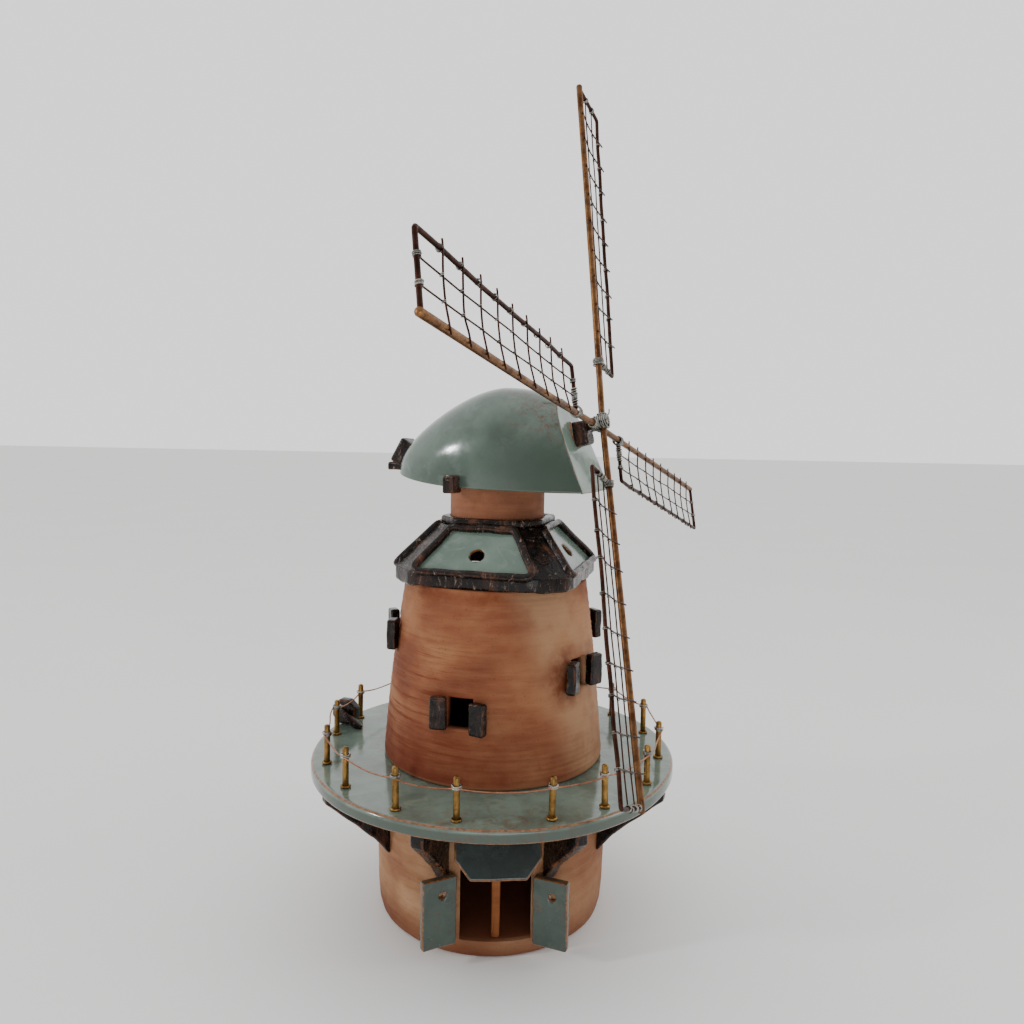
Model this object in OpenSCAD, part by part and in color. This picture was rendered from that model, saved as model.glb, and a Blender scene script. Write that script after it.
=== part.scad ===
// Model gallery mill in glazed stoneware with rod-and-wire sails.
// Millimetres, +Z up, origin at the centre of the base on the ground, door facing -Y.

/* [Base] */
// Outer radius of the round base
base_r = 81.6; // [70:0.2:95]
// Height of the base, ground to underside of the gallery
base_h = 101; // [88:1:115]
// Thickness of the base wall
base_wall = 6.5; // [5:0.5:9]
// Height of the floor inside the base
floor_h = 12.5; // [7:0.5:16]
// Width of the doorway
door_w = 46; // [38:1:48]
// Height of the doorway's crown above the ground
door_top = 65; // [56:1:67]
// Width of one door leaf
leaf_w = 23; // [18:0.5:25]
// Thickness of a door leaf
leaf_t = 5; // [3:0.5:6]
// How far each leaf is folded back, degrees from shut
leaf_open = 155; // [120:1:160]

/* [Gallery] */
// Radius of the gallery disc
stage_r = 128; // [120:1:140]
// Thickness of the gallery disc
stage_t = 9; // [7:0.5:12]
// How far in from the gallery's edge the posts stand
post_inset = 10; // [7:1:20]
// Height of a post above the gallery
post_h = 25.6; // [20:1:36]
// Radius of a post
post_r = 2; // [1.6:0.1:3]
// Height of the rail wire above the gallery
rail_h = 21; // [14:0.5:24]
// Drop of a corbel down the base wall
corbel_h = 49; // [40:1:60]
// Thickness of a corbel
corbel_t = 9; // [6:0.5:12]

/* [Tower] */
// Radius of the tower at its foot
tower_r = 78; // [70:0.5:84]
// Radius of the tower under the eave
tower_top_r = 63.6; // [56:0.2:68]
// Height of the tower from the gallery to the eave
tower_h = 125; // [105:1:150]
// Thickness of the tower wall
tower_wall = 6; // [4:0.5:8]
// Width of a window opening
window_w = 18; // [14:1:22]
// Height of a window opening
window_h = 21; // [14:1:22]

/* [Skirt roof] */
// Flat half-width of the skirt roof at the eave
eave_a = 62; // [58:0.2:68]
// Half-width of a panel at the eave
eave_w = 41.5; // [38:0.5:46]
// Flat half-width of the skirt roof at the top
top_a = 37.8; // [36:0.2:42]
// Half-width of a panel at the top
top_w = 21.5; // [19:0.5:24]
// Thickness of the eave band
eave_t = 10; // [7:0.5:14]
// Rise of the sloping part
skirt_h = 28; // [22:0.5:34]
// Diameter of the round hole in each panel
hole_d = 10.4; // [7:0.2:13]

/* [Cap] */
// Radius of the neck
neck_r = 33; // [30:0.5:35]
// Height of the neck that shows
neck_h = 23; // [18:0.5:32]
// Length of the cap behind the tower's axis
cap_back = 74.6; // [68:0.2:88]
// Length of the cap ahead of the tower's axis at its foot
cap_front = 72.6; // [66:0.2:78]
// Greatest half-width of the cap
cap_w = 39; // [36:0.5:46]
// Height of the cap
cap_h = 69.2; // [60:0.2:78]
// Direction the cap faces, degrees from the door
cap_az = 63.3; // [40:1:80]

/* [Sails] */
// Height of the windshaft's line where it meets the tower's axis
shaft_up = 28.4; // [20:0.2:36]
// Upward tilt of the windshaft
shaft_tilt = 12.6; // [10:0.2:16]
// Distance along the windshaft from the tower's axis to the sails
hub_d = 74.6; // [73:0.2:90]
// Length of each arm from the windshaft
arm_l = 242.4; // [200:0.2:243]
// Radius of a stock rod
stock_r = 2.1; // [1.5:0.1:3]
// How far the sails are turned at rest
rest_turn = 10; // [0:1:30]

/* [Hidden] */
$fn = 64;

deck = base_h + stage_t;
post_ring = stage_r - post_inset;
eave_z = deck + tower_h;
slope_z = eave_z + eave_t;
crown_z = slope_z + skirt_h;
rail_t = 6.5;
neck_z = crown_z + rail_t;
cap_z = crown_z + neck_h + 2;
shaft_z0 = cap_z + shaft_up;
skirt_az = -19.5;
skirt_x = 1.4;
post_az = [-119.7, -101.6, -75.1, -54.7, -31.9, -12.8, 14.6, 32.8, 55.7, 78.3, 101.4, 122.8, 146.3, 169.8, 193.3, 216.8];
corbel_az = [-24.5, 24.5, -62, 62, -105, 105, -152, 152];
clay = [0.66, 0.42, 0.30];
green = [0.50, 0.58, 0.53];
dark = [0.17, 0.13, 0.13];
brass = [0.62, 0.48, 0.25];
rod = [0.45, 0.30, 0.20];
silver = [0.70, 0.70, 0.68];

// turn a piece round the tower's axis, 0 at the door, positive to the right of it
module at_az(a) { rotate([0, 0, a]) children(); }

function tower_rad(z) = tower_r + (tower_top_r - tower_r) * (z - deck) / tower_h + 1.3 * sin(180 * (z - deck) / tower_h);

module base_shape(r) {
  rotate_extrude($fn = 96) polygon([[0, 0], [r - 5, 0], [r - 2.6, 2.4], [r - 1.4, 7], [r - 0.5, 18], [r, 40], [r, base_h], [0, base_h]]);
}
module doorway() translate([0, -27, 0]) rotate([90, 0, 0]) linear_extrude(base_r - 22) {
  translate([-door_w / 2, floor_h]) square([door_w, door_top - 7 - floor_h]);
  translate([-door_w / 2 + 7, floor_h]) square([door_w - 14, door_top - floor_h]);
  for (x = [-1, 1]) translate([x * (door_w / 2 - 7), door_top - 7]) circle(r = 7, $fn = 48);
}
module base_wall() color(clay) difference() {
  base_shape(base_r);
  translate([0, 0, floor_h]) cylinder(r = base_r - base_wall, h = base_h, $fn = 96);
  doorway();
}
module door_post() color(clay) translate([-2.6, -(base_r - 4.6), floor_h]) cube([5.2, 4, door_top - floor_h - 0.3]);

module leaf(side) {
  translate([side < 0 ? -door_w / 2 - 4 : door_w / 2 + 2, -(base_r - 3.6), side < 0 ? 13.5 : 11.5]) rotate([0, 0, -side * (180 - leaf_open)])
    translate([side > 0 ? 0 : -leaf_w, -leaf_t, 0]) difference() {
      cube([leaf_w, leaf_t, 45]);
      translate([side * leaf_w * (side < 0 ? 0.42 : 0.56) + (side > 0 ? 0 : leaf_w), -1, 34]) rotate([-90, 0, 0]) cylinder(r = 2.6, h = leaf_t + 2, $fn = 24);
    }
}
module leaf_left() color(green) difference() { leaf(-1); base_shape(base_r + 0.2); corbel_set(0.8); }
module leaf_right() color(green) difference() { leaf(1); base_shape(base_r + 0.2); corbel_set(0.8); }

hood_out = 21;
hood_z = 65.5;
module door_hood() color(green) difference() {
  intersection() {
    translate([0, -base_r, 0]) rotate([90, 0, 90]) translate([0, 0, -26]) linear_extrude(52)
      polygon([[6, base_h - 0.3], [-1, base_h - 0.3], [-hood_out, hood_z], [-hood_out, hood_z - 4], [6, base_h - 14]]);
    translate([0, -base_r - hood_out, 0]) linear_extrude(base_h) polygon([[-17.5, 0], [17.5, 0], [27, 6.3], [27, 40], [-27, 40], [-27, 6.3]]);
  }
  base_shape(base_r + 0.2);
  corbel_set(1.0);
}

module corbel(out, tip, grow = 0) translate([-(corbel_t + grow) / 2, 0, 0]) rotate([90, 0, 90]) linear_extrude(corbel_t + grow)
  polygon([[-base_r + 4, base_h - 0.3], [-out, base_h - 0.3], [-out, base_h - tip - grow], [-(base_r + 11), base_h - corbel_h + 13 - grow], [-base_r - 2, base_h - corbel_h - grow], [-base_r + 4, base_h - corbel_h - grow]]);
module corbel_set(grow = 0) for (i = [0:7]) at_az(corbel_az[i]) corbel(i < 2 ? stage_r - 8 : stage_r - 1.5, i < 2 ? 10 : 5, grow);
module corbels() color(dark) difference() { corbel_set(); base_shape(base_r + 0.2); }

module gallery_deck() color(green) translate([0, 0, base_h]) rotate_extrude($fn = 128)
  polygon([[0, 0], [stage_r - 2, 0], [stage_r - 0.5, 1.2], [stage_r, 3], [stage_r, stage_t - 2], [stage_r - 1.4, stage_t - 0.4], [stage_r - 3, stage_t], [0, stage_t]]);

module each_post() for (a = post_az) at_az(a) translate([0, -post_ring, deck]) children();
module fence_posts() color(brass) each_post() cylinder(r = post_r, h = post_h, $fn = 24);
module post_feet() color(brass) each_post() difference() {
  cylinder(r = post_r * 1.6, h = 2.2, $fn = 24);
  translate([0, 0, -1]) cylinder(r = post_r, h = 5, $fn = 24);
}
module rail_ties() color(silver) each_post() translate([0, 0, rail_h]) difference() {
  cylinder(r = post_r + 1.1, h = 1.6, center = true, $fn = 24);
  cylinder(r = post_r, h = 4, center = true, $fn = 24);
}
module rod_to(p, q, r, n = 6) {
  d = q - p;
  l = norm(d);
  translate(p) rotate([0, acos(d[2] / l), atan2(d[1], d[0])]) cylinder(r = r, h = l, $fn = n);
}
module rail_wire() color(rod) difference() {
  for (i = [0:15]) {
    a = post_az[i];
    b = i == 15 ? post_az[0] + 360 : post_az[i + 1];
    rr = post_ring + 1.6 * post_r;
    p = [rr * sin(a), -rr * cos(a), deck + rail_h];
    q = [rr * sin(b), -rr * cos(b), deck + rail_h];
    rod_to(p, q, 0.5);
  }
  each_post() cylinder(r = post_r + 1.15, h = post_h, $fn = 24);
}

winch_az = -112.5;
module at_winch() at_az(winch_az) translate([0, -(stage_r - 7), deck]) children();
module winch_wheel() color(dark) at_winch() {
  translate([0, 0, 10.1]) rotate([0, 90, 0]) rotate([0, 0, 22.5]) cylinder(r = 10.9, h = 9.5, center = true, $fn = 8);
  translate([4.7, 0, 10.4]) rotate([0, 90, 0]) cylinder(r = 3, h = 2.4, $fn = 24);
}
module winch_strut() color(dark) at_winch() difference() {
  translate([5.2, 0, 0]) rotate([90, 0, 90]) linear_extrude(4) polygon([[12, 0], [18, 0], [18, 2.4], [4, 12.5], [1.5, 9]]);
  translate([4.7, 0, 10.4]) rotate([0, 90, 0]) cylinder(r = 3.05, h = 8, center = true, $fn = 24);
}

module window_cut(a, z) at_az(a) translate([-window_w / 2, -tower_r - 6, z - window_h / 2]) cube([window_w, 24, window_h]);
low_az = -20; low_z = deck + 48;
mid_az = 50; mid_z = deck + 68;
left_az = -87; left_z = deck + 88;
right_az = 107; right_z = deck + 89;
back_az = 170; back_z = deck + 52;
module tower_shell(d) rotate_extrude($fn = 96) polygon(concat([[0, deck], [tower_r - 2.4 - d, deck], [tower_r - 0.4 - d, deck + 2.5]],
  [for (z = [deck + 6:10:eave_z - 2]) [tower_rad(z) - d, z]], [[tower_top_r - d, eave_z], [0, eave_z]]));
module tower_wall() color(clay) difference() {
  tower_shell(0);
  translate([0, 0, -0.01]) tower_hollow();
  window_cut(low_az, low_z);
  window_cut(mid_az, mid_z);
  window_cut(left_az, left_z);
  window_cut(right_az, right_z);
  window_cut(back_az, back_z);
}
module tower_hollow() rotate_extrude($fn = 96) polygon([[0, deck - 1], [tower_rad(deck) - tower_wall, deck - 1], [tower_rad(deck + 40) - tower_wall, deck + 40],
  [tower_rad(deck + 80) - tower_wall, deck + 80], [tower_top_r - tower_wall, eave_z + 1], [0, eave_z + 1]]);
// each shutter stands off the wall, hinged a little outside its window
module shutter_pair(a, z) let (o = window_w / 2 - 0.8) at_az(a) for (s = [-1, 1])
  translate([s * o, -(sqrt(pow(tower_rad(z - window_h / 2), 2) - o * o) + 0.25), z]) rotate([0, 0, -s * 14])
    translate([s > 0 ? 0 : -window_w * 0.6, -4, -window_h / 2]) cube([window_w * 0.6, 4, window_h]);
module shut(a, z) color(dark) shutter_pair(a, z);
module shutters_low() shut(low_az, low_z);
module shutters_mid() shut(mid_az, mid_z);
module shutters_left() shut(left_az, left_z);
module shutters_right() shut(right_az, right_z);
module shutters_back() shut(back_az, back_z);

// eased square ring: apothem a, half-width w of the flat sides, corners cut back by e
function ring_pts(a, w, e = 1.6) = let (k = e * 0.7071) [for (q = [0:3]) let (c = [1, 0, -1, 0][q], d = [0, 1, 0, -1][q])
  for (v = [[-w + e, -a], [w - e, -a], [w + k, -a + k], [a - k, -w - k]]) [c * v[0] - d * v[1], d * v[0] + c * v[1]]];
module frustum(a0, w0, z0, a1, w1, z1) polyhedron(
  points = concat([for (p = ring_pts(a0, w0)) [p[0], p[1], z0]], [for (p = ring_pts(a1, w1)) [p[0], p[1], z1]]),
  faces = concat([[for (i = [0:15]) i]], [[for (i = [0:15]) 31 - i]], [for (i = [0:15]) [i, i + 16, (i + 1) % 16 + 16, (i + 1) % 16]]));
slope = atan2(skirt_h, eave_a - top_a);
slant = norm([skirt_h, eave_a - top_a]);
// panel plane: local x across, local y up the slope, z outward
module on_panel(k) translate([skirt_x, 0, 0]) at_az(skirt_az + 90 * k) translate([0, -eave_a, slope_z]) rotate([slope, 0, 0]) children();
module panel_outline(e = 0) polygon([[-eave_w + 2.6 - e, 2.2 - e], [eave_w - 2.6 + e, 2.2 - e], [top_w - 0.6 + e, slant - 2.4 + e], [-top_w + 0.6 - e, slant - 2.4 + e]]);
module skirt_frame() color(dark) difference() {
  translate([skirt_x, 0, 0]) at_az(skirt_az) difference() {
    frustum(eave_a, eave_w, slope_z, top_a, top_w, crown_z);
    frustum(eave_a - 8, eave_w - 4, slope_z - 0.01, top_a - 8, top_w - 4, crown_z + 0.01);
  }
  for (k = [0:3]) on_panel(k) translate([0, 0, -12]) linear_extrude(16) panel_outline();
}
module skirt_panels() color(green) difference() {
  for (k = [0:3]) on_panel(k) difference() {
    translate([0, 0, -5.4]) linear_extrude(3.4) panel_outline(-0.01);
    translate([0, slant * 0.44, -8]) cylinder(r = hole_d / 2, h = 10, $fn = 40);
  }
  translate([-100, -100, slope_z - 19.98]) cube([200, 200, 20]);
}
module skirt_eave() color(dark) translate([0, 0, eave_z]) difference() {
  translate([skirt_x, 0, 0]) at_az(skirt_az) linear_extrude(eave_t) polygon(ring_pts(eave_a, eave_w, 3));
  translate([0, 0, -1]) cylinder(r = 55, h = eave_t + 2, $fn = 96);
}
module skirt_rail() color(dark) translate([0, 0, crown_z]) difference() {
  translate([skirt_x, 0, 0]) at_az(skirt_az) linear_extrude(rail_t) polygon(ring_pts(top_a - 1.4, top_w - 0.5));
  translate([0, 0, -1]) cylinder(r = neck_r + 0.2, h = rail_t + 2, $fn = 72);
}
module neck_ring() color(clay) difference() {
  translate([0, 0, crown_z]) cylinder(r = neck_r, h = cap_z - crown_z, $fn = 72);
  translate([0, 0, crown_z - 4]) cylinder(r = neck_r - 5, h = cap_z - crown_z + 8, $fn = 72);
}

// cap: width and height swell from the tail to a widest point, the keel line lifts at the tail, the front is cut by a leaning plane
cap_mid = 27.8;
face_tilt = 23.6;
tail_lift = 8.4;
function back_t(s, b) = (cap_mid - s) / (cap_mid + b);
function cap_k(s, b) = s < cap_mid ? pow(max(1 - pow(back_t(s, b), 1.66), 0.003), 1 / 1.66) : sqrt(1 - pow((s - cap_mid) / 98, 2));
function cap_kw(s, b) = s < cap_mid ? pow(max(1 - pow(back_t(s, b), 2.46), 0.001), 1 / 2.46) : sqrt(1 - pow((s - cap_mid) / 70, 2));
function cap_ring(u, d, m) = let (b = cap_back - d, g = 1 - cos(90 * u), s = -b + (cap_front + b) * g)
  [for (j = [0:m]) let (t = 180 * j / m, x = (cap_w - d) * cap_kw(s, b) * cos(t),
    z = (s < cap_mid ? (tail_lift + d * 0.3) * pow(back_t(s, b), 2.95) : 0) + (cap_h - 2 * d) * cap_k(s, b) * pow(sin(t), 0.7))
    [x, s - tan(face_tilt) * z * g, z]];
module cap_solid(d, m = 28, n = 26) {
  pts = [for (i = [0:n]) each cap_ring(i / n, d, m)];
  c = m + 1;
  polyhedron(points = pts, faces = concat(
    [[for (j = [0:m]) m - j]], [[for (j = [0:m]) n * c + j]],
    [for (i = [0:n - 1]) for (j = [0:m - 1]) each [[i * c + j, i * c + j + 1, (i + 1) * c + j + 1], [i * c + j, (i + 1) * c + j + 1, (i + 1) * c + j]]],
    [for (i = [0:n - 1]) each [[i * c + m, i * c, (i + 1) * c], [i * c + m, (i + 1) * c, (i + 1) * c + m]]]));
}
// cap frame: local +Y points where the cap faces
module in_cap() translate([0, 0, cap_z]) rotate([0, 0, cap_az + 180]) children();
module cap_hollow() translate([0, 0, 5]) cap_solid(5.5);
module beam_end(e = 0) for (s = [-1, 1]) translate([s > 0 ? 34.5 : -47, -19.5 - e, -2.8 - e]) cube([12.5, 8 + 2 * e, 11.5 + 2 * e]);
module tail_shape() translate([0, -cap_back + 1, 17]) rotate([-30, 0, 0]) translate([-8, -8, -5]) cube([16, 14, 18]);
module bar_shape() translate([-8.5, -cap_back - 10.5, 9.5]) cube([17, 17, 6]);
module cap_shell() color(green) difference() {
  in_cap() difference() {
    cap_solid(0);
    cap_hollow();
    beam_end(0.01);
    tail_shape();
    bar_shape();
  }
}
module cap_face() color(green) difference() {
  in_cap() intersection() {
    cap_hollow();
    translate([0, cap_front, 0]) rotate([face_tilt, 0, 0]) translate([-60, -4.5, -30]) cube([120, 4.5, 120]);
  }
  shaft_hole();
}
module tail_block() color(dark) in_cap() difference() { tail_shape(); bar_shape(); }
module tail_bar() color(dark) in_cap() bar_shape();
module cross_beams() color(dark) in_cap() beam_end();

// shaft frame: local z out along the windshaft, x to the right seen from ahead, y up
module on_shaft() translate([0, 0, shaft_z0]) rotate([90 - shaft_tilt, 0, cap_az]) children();
shaft_r = 2.4;
face_s = 56;
block_l = 11.4;
module shaft_hole(e = 0.08) on_shaft() translate([0, 0, 30]) cylinder(r = shaft_r + e, h = 60, $fn = 48);
module rounded_bar(w, l, c) linear_extrude(l) difference() {
  square(w, center = true);
  for (i = [0:3]) rotate(90 * i) translate([w / 2 - c, w / 2 - c]) difference() { square(2 * c); circle(r = c, $fn = 32); }
}
module shaft_collar() color(green) difference() {
  on_shaft() translate([0, -3.6, face_s - 3]) rounded_bar(18.5, 5.5, 4);
  in_cap() intersection() { cap_solid(0); translate([0, cap_front, 0]) rotate([face_tilt, 0, 0]) translate([-60, -40, -30]) cube([120, 40, 120]); }
  shaft_hole();
}
module shaft_block() color(dark) difference() {
  on_shaft() translate([0, -3.6, face_s + 2.5]) rounded_bar(16.6, block_l - 2.5, 3.5);
  shaft_hole();
}
module windshaft() color(rod) on_shaft() translate([0, 0, 45]) cylinder(r = shaft_r, h = hub_d - 45 - 2 * stock_r - 0.4, $fn = 48);
wire_r = 0.55;
module coil(r, n, gap = 1.25) for (i = [0:n - 1]) translate([0, 0, i * gap]) rotate_extrude($fn = 32) translate([r + wire_r, 0]) circle(r = wire_r, $fn = 16);
module hub_binding() color(silver) on_shaft() {
  translate([0, 0, face_s + block_l + 0.7]) coil(shaft_r, 1);
}
// the four arms in turn: clockwise seen from ahead, and how far each leans forward
arm_turn = [rest_turn - 0.2, rest_turn + 93.7, rest_turn + 189.2, rest_turn + 268.8];
arm_lean = [3.7, 2.1, 1.1, 2.1];
module on_arm(k) on_shaft() translate([0, 0, hub_d]) rotate([0, 0, -arm_turn[k]]) rotate([arm_lean[k], 0, 0]) translate([0, 0, k % 2 == 0 ? stock_r + 0.1 : -stock_r - 0.1]) children();
module stock(k) on_arm(k) rotate([-90, 0, 0]) translate([0, 0, k < 2 ? -4 : 4.8]) cylinder(r = stock_r, h = arm_l - (k < 2 ? -4 : 4.8), $fn = 32);
module stock_upright() color(brass) { stock(0); stock(2); }
module stock_level() color(brass) { stock(1); stock(3); }
sail_in = 43;
sail_w0 = 31;
sail_w1 = 37.5;
frame_r = 1.3;
lat_r = 0.45;
sail_out = arm_l - 2.5;
// the bent rod of a sail, square in section here
module frame_rods() linear_extrude(2 * frame_r, center = true) difference() {
  polygon([[stock_r + 0.05, sail_in - frame_r], [sail_w0 + frame_r, sail_in - 3 - frame_r], [sail_w1 + frame_r, sail_out - 2 + frame_r], [stock_r + 0.05, sail_out + frame_r]]);
  polygon([[-5, sail_in + frame_r], [stock_r + 0.05, sail_in + frame_r], [sail_w0 - frame_r, sail_in - 3 + frame_r], [sail_w1 - frame_r, sail_out - 2 - frame_r], [stock_r + 0.05, sail_out - frame_r], [-5, sail_out - frame_r]]);
}
module lattice_wires() {
  x0 = stock_r + lat_r + 0.02;
  for (k = [1:9]) let (y = sail_in + (sail_out - sail_in) * k / 10, w = sail_w0 + (sail_w1 - sail_w0) * k / 10)
    rod_to([x0, y, 0], [w - frame_r - 0.12, y - 3, 0], lat_r, 6);
  for (t = [0.34, 0.67]) rod_to([sail_w0 * t, sail_in - 3 * t + frame_r + 0.25, 0], [sail_w1 * t, sail_out - 2 * t - frame_r - 0.25, 0], lat_r, 6);
}
module frame_a() color(rod) on_arm(0) frame_rods();
module frame_b() color(rod) on_arm(1) frame_rods();
module frame_c() color(rod) on_arm(2) frame_rods();
module frame_d() color(rod) on_arm(3) frame_rods();
module lattice_a() color(rod) on_arm(0) lattice_wires();
module lattice_b() color(rod) on_arm(1) lattice_wires();
module lattice_c() color(rod) on_arm(2) lattice_wires();
module lattice_d() color(rod) on_arm(3) lattice_wires();

base_wall();
door_post();
leaf_left();
leaf_right();
door_hood();
corbels();
gallery_deck();
fence_posts();
post_feet();
rail_ties();
rail_wire();
winch_wheel();
winch_strut();
tower_wall();
shutters_low();
shutters_mid();
shutters_left();
shutters_right();
shutters_back();
skirt_panels();
skirt_frame();
skirt_eave();
skirt_rail();
neck_ring();
cap_shell();
cap_face();
tail_block();
tail_bar();
cross_beams();
shaft_collar();
shaft_block();
windshaft();
hub_binding();
stock_upright();
stock_level();
frame_a();
frame_b();
frame_c();
frame_d();
lattice_a();
lattice_b();
lattice_c();
lattice_d();
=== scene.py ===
"""Looks of a model gallery mill: stoneware in two glazes, brass posts, and sails of rod and wire."""
import math
import bpy
import numpy as np
from mathutils import Matrix


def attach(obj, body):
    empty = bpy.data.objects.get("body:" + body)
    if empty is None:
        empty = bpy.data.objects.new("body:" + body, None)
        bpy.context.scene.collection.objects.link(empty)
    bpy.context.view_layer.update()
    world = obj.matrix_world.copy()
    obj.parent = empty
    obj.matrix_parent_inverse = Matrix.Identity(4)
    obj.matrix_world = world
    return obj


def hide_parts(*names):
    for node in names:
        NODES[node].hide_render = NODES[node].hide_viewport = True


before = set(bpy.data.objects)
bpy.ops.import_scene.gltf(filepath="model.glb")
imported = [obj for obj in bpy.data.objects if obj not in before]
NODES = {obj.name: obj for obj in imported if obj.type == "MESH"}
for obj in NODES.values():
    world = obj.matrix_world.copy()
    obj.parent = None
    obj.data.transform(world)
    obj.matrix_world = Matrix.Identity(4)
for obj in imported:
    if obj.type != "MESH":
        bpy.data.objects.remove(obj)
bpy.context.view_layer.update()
K = 0.001                      # the sizes below are in millimetres
rng = np.random.default_rng(11)

# ---------- sizes shared with the part, in its own order: base, stage, tower, roof, cap, sails ----------
BASE_R, BASE_H, FLOOR_H, DOOR_W, DOOR_TOP = 81.6, 101.0, 12.5, 46.0, 65.0
STAGE_R, DECK, POST_RING, POST_H, POST_R, RAIL_H = 128.0, 110.0, 118.0, 25.6, 2.0, 21.0
TOWER_R, TOWER_TOP, TOWER_H, WALL = 78.0, 63.6, 125.0, 6.0
EAVE_Z, EAVE_T, SLOPE_Z, CROWN_Z, CAP_Z = 235.0, 10.0, 245.0, 273.0, 298.0
EAVE_A, EAVE_W, TOP_A, TOP_W, SKIRT_AZ, SKIRT_X = 62.0, 41.5, 37.8, 21.5, -19.5, 1.4
NECK_R, CAP_BACK, CAP_FRONT, CAP_W, CAP_H, CAP_AZ = 33.0, 74.6, 72.6, 39.0, 69.2, 63.3
CAP_MID, FACE_TILT, TAIL_LIFT = 27.8, 23.6, 8.4
SHAFT_Z0, SHAFT_TILT, HUB_D, ARM_L, STOCK_R, REST = 326.4, 12.6, 74.6, 242.4, 2.1, 10.0
SAIL_IN, SAIL_OUT, SAIL_W0, SAIL_W1, FRAME_R = 43.0, 239.9, 31.0, 37.5, 1.3
POST_AZ = [-119.7, -101.6, -75.1, -54.7, -31.9, -12.8, 14.6, 32.8,
           55.7, 78.3, 101.4, 122.8, 146.3, 169.8, 193.3, 216.8]
CORBEL_AZ, CORBEL_H, CORBEL_T = [-24.5, 24.5, -62, 62, -105, 105, -152, 152], 49.0, 9.0
LEAF_W, LEAF_H, LEAF_T, LEAF_SWING, HINGE_IN = 23.0, 45.0, 5.0, 25.0, 3.6
HOOD_OUT, HOOD_Z, HOOD_RUN, HOOD_W, HOOD_LIP = 21.0, 65.5, 19.6, 27.0, 17.6
WINDOW_W, WINDOW_H, SHUTTER_W, SHUTTER_T, SHUTTER_SWING = 18.0, 21.0, 10.8, 6.4, 14.0
WINDOWS = {"low": (-20, DECK + 48), "mid": (50, DECK + 68), "left": (-87, DECK + 88),
           "right": (107, DECK + 89), "back": (170, DECK + 52)}
ARM_TURN = [REST - 0.2, REST + 93.7, REST + 189.2, REST + 268.8]
ARM_LEAN = [3.7, 2.1, 1.1, 2.1]


# ---------- frames ----------
def rot(x=0.0, y=0.0, z=0.0):
    """Turn about x, then y, then z, in degrees."""
    a, b, c = np.radians([x, y, z])
    X = np.array([[1, 0, 0], [0, math.cos(a), -math.sin(a)], [0, math.sin(a), math.cos(a)]])
    Y = np.array([[math.cos(b), 0, math.sin(b)], [0, 1, 0], [-math.sin(b), 0, math.cos(b)]])
    Z = np.array([[math.cos(c), -math.sin(c), 0], [math.sin(c), math.cos(c), 0], [0, 0, 1]])
    return Z @ Y @ X


def place(*steps):
    """Joins moves, each a turn matrix or a shift, outermost first, into one 4 by 4 matrix."""
    M = np.eye(4)
    for s in steps:
        T = np.eye(4)
        s = np.asarray(s, float)
        if s.shape == (3, 3):
            T[:3, :3] = s
        elif s.shape == (4, 4):
            T = s
        else:
            T[:3, 3] = s
        M = M @ T
    return M


def at(M, p):
    """The points p carried by the 4 by 4 matrix M."""
    return np.asarray(p, float) @ M[:3, :3].T + M[:3, 3]


UPRIGHT = rot(x=90, z=90)      # stands a flat outline on its edge, facing along x
IN_CAP = place((0, 0, CAP_Z), rot(z=CAP_AZ + 180))
ON_SHAFT = place((0, 0, SHAFT_Z0), rot(x=90 - SHAFT_TILT, z=CAP_AZ))


def arm(k):
    """Arm k's frame: y out along its stock, x across its sail, z forward. The upright pair lies ahead."""
    off = (STOCK_R + 0.1) * (1 if k % 2 == 0 else -1)
    return place(ON_SHAFT, (0, 0, HUB_D), rot(z=-ARM_TURN[k]), rot(x=ARM_LEAN[k]), (0, 0, off))


# ---------- mesh building ----------
def wobble(p, amp, size, seed=0):
    """A smooth wander: three sine waves of random direction for each axis, summed."""
    g = np.random.default_rng(seed)
    out = np.zeros_like(p)
    for _ in range(3):
        k = g.normal(size=(3, 3)) * 2 * math.pi / size / 1.7
        out += np.sin(p @ k + g.uniform(0, 6.28, 3)) * amp / 3
    return p + out


class Bag:
    """Collects vertices, faces and the edge and tone attributes of one piece."""
    def __init__(self):
        self.v, self.q, self.n, self.e, self.t, self.c = [], [], [], [], [], 0

    def add(self, v, quads, ngons=(), edge=None, tone=None):
        v = np.asarray(v, float).reshape(-1, 3)
        self.v.append(v)
        self.q.append(np.asarray(quads, int).reshape(-1, 4) + self.c)
        self.n += [[i + self.c for i in g] for g in ngons]
        self.e.append(np.zeros(len(v)) if edge is None else np.asarray(edge, float).reshape(-1))
        self.t.append(np.full(len(v), 0.5 if tone is None else tone, float))
        self.c += len(v)

    def build(self, name, body, mat, slot, replaces=()):
        """Makes the object, lets it ride on its body, and hides the CAD nodes it stands for; slot is not
        used.
        """
        v = np.concatenate(self.v) * K
        me = bpy.data.meshes.new(name)
        me.from_pydata(v.tolist(), [], np.concatenate(self.q).tolist() + self.n)
        me.validate()
        me.polygons.foreach_set("use_smooth", np.full(len(me.polygons), True))
        for nm, data in (("edge", self.e), ("tone", self.t)):
            a = me.attributes.new(nm, "FLOAT", "POINT")
            a.data.foreach_set("value", np.concatenate(data).astype(np.float32))
        me.update()
        o = bpy.data.objects.new(name, me)
        bpy.context.scene.collection.objects.link(o)
        me.materials.append(mat)
        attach(o, body)
        if replaces:
            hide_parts(*replaces)
        return o


def grid_quads(rows, cols, wrap_r=False, wrap_c=True):
    """Quads of a grid of points; a wrapped direction closes on itself."""
    r = np.arange(rows if wrap_r else rows - 1)[:, None]
    c = np.arange(cols if wrap_c else cols - 1)[None, :]
    r2, c2 = (r + 1) % rows, (c + 1) % cols
    return np.stack([r * cols + c, r * cols + c2, r2 * cols + c2, r2 * cols + c], -1).reshape(-1, 4)


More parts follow.
